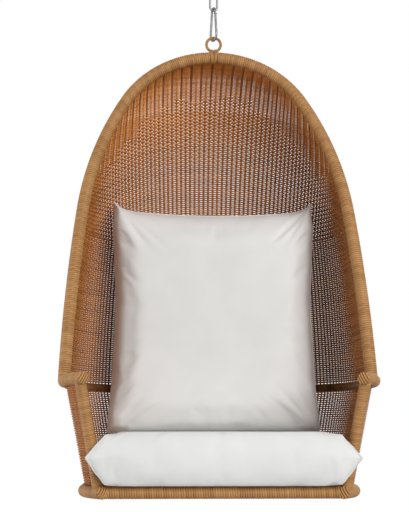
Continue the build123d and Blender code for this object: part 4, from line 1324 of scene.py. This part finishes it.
class CHAIR_OT_studio(Operator):
    """Camera, soft lights, pale floor and white surround"""

    bl_idname = "chair.studio"
    bl_label = "Studio"

    def execute(self, context):
        scene = context.scene
        scene.view_settings.view_transform = "Standard"
        self.camera(scene)
        self.lights(scene)
        self.floor()
        self.surround(scene)
        return {"FINISHED"}

    def camera(self, scene):
        """A long lens low in front, a little to the left, tilted up"""
        tilt = math.atan(HORIZON_PIXELS / FOCAL_PIXELS)
        turn = CAMERA_AROUND - math.atan(ASIDE_PIXELS / FOCAL_PIXELS * math.cos(tilt))
        data = bpy.data.cameras.new("photo_view")
        data.sensor_fit = "VERTICAL"
        data.sensor_height = SENSOR
        data.lens = SENSOR * FOCAL_PIXELS / PICTURE_PIXELS
        camera = bpy.data.objects.new("photo_view", data)
        camera.location = (
            -CAMERA_DISTANCE * math.sin(CAMERA_AROUND),
            -CAMERA_DISTANCE * math.cos(CAMERA_AROUND),
            level(CAMERA_HEIGHT),
        )
        aim = Vector((math.sin(turn) * math.cos(tilt), math.cos(turn) * math.cos(tilt), math.sin(tilt)))
        camera.rotation_euler = aim.to_track_quat("-Z", "Y").to_euler()
        scene.collection.objects.link(camera)
        scene.camera = camera

    def lights(self, scene):
        """A broad key from the right, one for the left flank, and a weak one behind"""
        for name, place, size, power in (
            ("key", (1.9, -4.3, level(1.9)), 3.4, 216.0),
            ("fill", (-2.8, -0.25, level(0.3)), 2.0, 44.0),
            ("back", (1.0, 2.8, level(1.0)), 2.4, 14.0),
        ):
            data = bpy.data.lights.new(name, "AREA")
            data.shape = "DISK"
            data.size = size
            data.energy = power
            lamp = bpy.data.objects.new(name, data)
            lamp.location = place
            lamp.rotation_euler = (LIGHT_TARGET - Vector(place)).to_track_quat("-Z", "Y").to_euler()
            scene.collection.objects.link(lamp)

    def floor(self):
        """Pale floor below the seat that fades out all round"""
        bpy.ops.object.select_all(action="DESELECT")
        bpy.ops.mesh.primitive_circle_add(
            vertices=96, radius=FLOOR_RADIUS, fill_type="NGON", location=(0, 0, 0)
        )
        floor = bpy.context.active_object
        floor.name = "floor"
        for vertex in floor.data.vertices:
            vertex.co.z = level(FLOOR_HEIGHT)
        material, tree, shader = new_material("pale_floor", Roughness=0.85)
        ramp = ramp_node(tree, noise_node(tree, 3.0, 3.0), (0.80, 0.80, 0.79), (0.84, 0.84, 0.83))
        link_nodes(tree, ramp, "Color", shader, "Base Color")
        place = add_node(tree, "ShaderNodeTexCoord")
        flat = add_node(tree, "ShaderNodeVectorMath", [(1, (1.0, 1.0, 0.0))], operation="MULTIPLY")
        reach = add_node(tree, "ShaderNodeVectorMath", operation="LENGTH")
        near, far = (share * FLOOR_RADIUS for share in FLOOR_FADE)
        fade = add_node(
            tree,
            "ShaderNodeMapRange",
            [("From Min", near), ("From Max", far), ("To Min", 1.0), ("To Max", 0.0)],
            interpolation_type="SMOOTHSTEP",
        )
        link_nodes(tree, place, "Object", flat, 0)
        link_nodes(tree, flat, "Vector", reach, 0)
        link_nodes(tree, reach, "Value", fade, "Value")
        link_nodes(tree, fade, "Result", shader, "Alpha")
        floor.data.materials.append(material)

    def surround(self, scene):
        """White where the camera or a shine sees it, softer as light"""
        world = bpy.data.worlds.new("studio")
        scene.world = world
        world.use_nodes = True
        tree = world.node_tree
        background = tree.nodes["Background"]
        background.inputs["Color"].default_value = (1, 1, 1, 1)
        path = add_node(tree, "ShaderNodeLightPath")
        shine = add_node(tree, "ShaderNodeMath", operation="MAXIMUM")
        seen = add_node(tree, "ShaderNodeMath", operation="MAXIMUM")
        strength = add_node(tree, "ShaderNodeMapRange", [("To Min", SURROUND_LIGHT), ("To Max", 1.0)])
        link_nodes(tree, path, "Is Glossy Ray", shine, 0)
        link_nodes(tree, path, "Is Transmission Ray", shine, 1)
        link_nodes(tree, path, "Is Camera Ray", seen, 0)
        link_nodes(tree, shine, 0, seen, 1)
        link_nodes(tree, seen, 0, strength, "Value")
        link_nodes(tree, strength, "Result", background, "Strength")


class CHAIR_PT_pieces(Panel):
    """Lists the chair's pieces and their settings"""

    bl_idname = "CHAIR_PT_pieces"
    bl_label = "Hanging wicker chair"
    bl_space_type = "VIEW_3D"
    bl_region_type = "UI"
    bl_category = "Chair"

    def draw(self, context):
        for operator in PIECES:
            self.layout.operator(operator.bl_idname)
        for name in SETTINGS:
            settings = getattr(context.scene, name)
            box = self.layout.box()
            for label in settings.__annotations__:
                box.prop(settings, label)


SETTINGS = {
    "chair_weave": WeaveSettings,
    "chair_winding": WindingSettings,
    "chair_cushions": CushionSettings,
    "chair_colours": ColourSettings,
}
PIECES = (
    CHAIR_OT_bare_pieces,
    CHAIR_OT_wound_poles,
    CHAIR_OT_hanging_ring,
    CHAIR_OT_rail_caps,
    CHAIR_OT_woven_hood,
    CHAIR_OT_woven_basket,
    CHAIR_OT_woven_seat,
    CHAIR_OT_seat_cushion,
    CHAIR_OT_back_cushion,
    CHAIR_OT_studio,
)


def register():
    for name, settings in SETTINGS.items():
        bpy.utils.register_class(settings)
        setattr(bpy.types.Scene, name, PointerProperty(type=settings))
    for operator in PIECES:
        bpy.utils.register_class(operator)
    bpy.utils.register_class(CHAIR_PT_pieces)


def unregister():
    bpy.utils.unregister_class(CHAIR_PT_pieces)
    for operator in reversed(PIECES):
        bpy.utils.unregister_class(operator)
    for name, settings in SETTINGS.items():
        delattr(bpy.types.Scene, name)
        bpy.utils.unregister_class(settings)


def main():
    register()
    for operator in PIECES:
        group, name = operator.bl_idname.split(".")
        getattr(getattr(bpy.ops, group), name)()


if __name__ == "__main__":
    main()
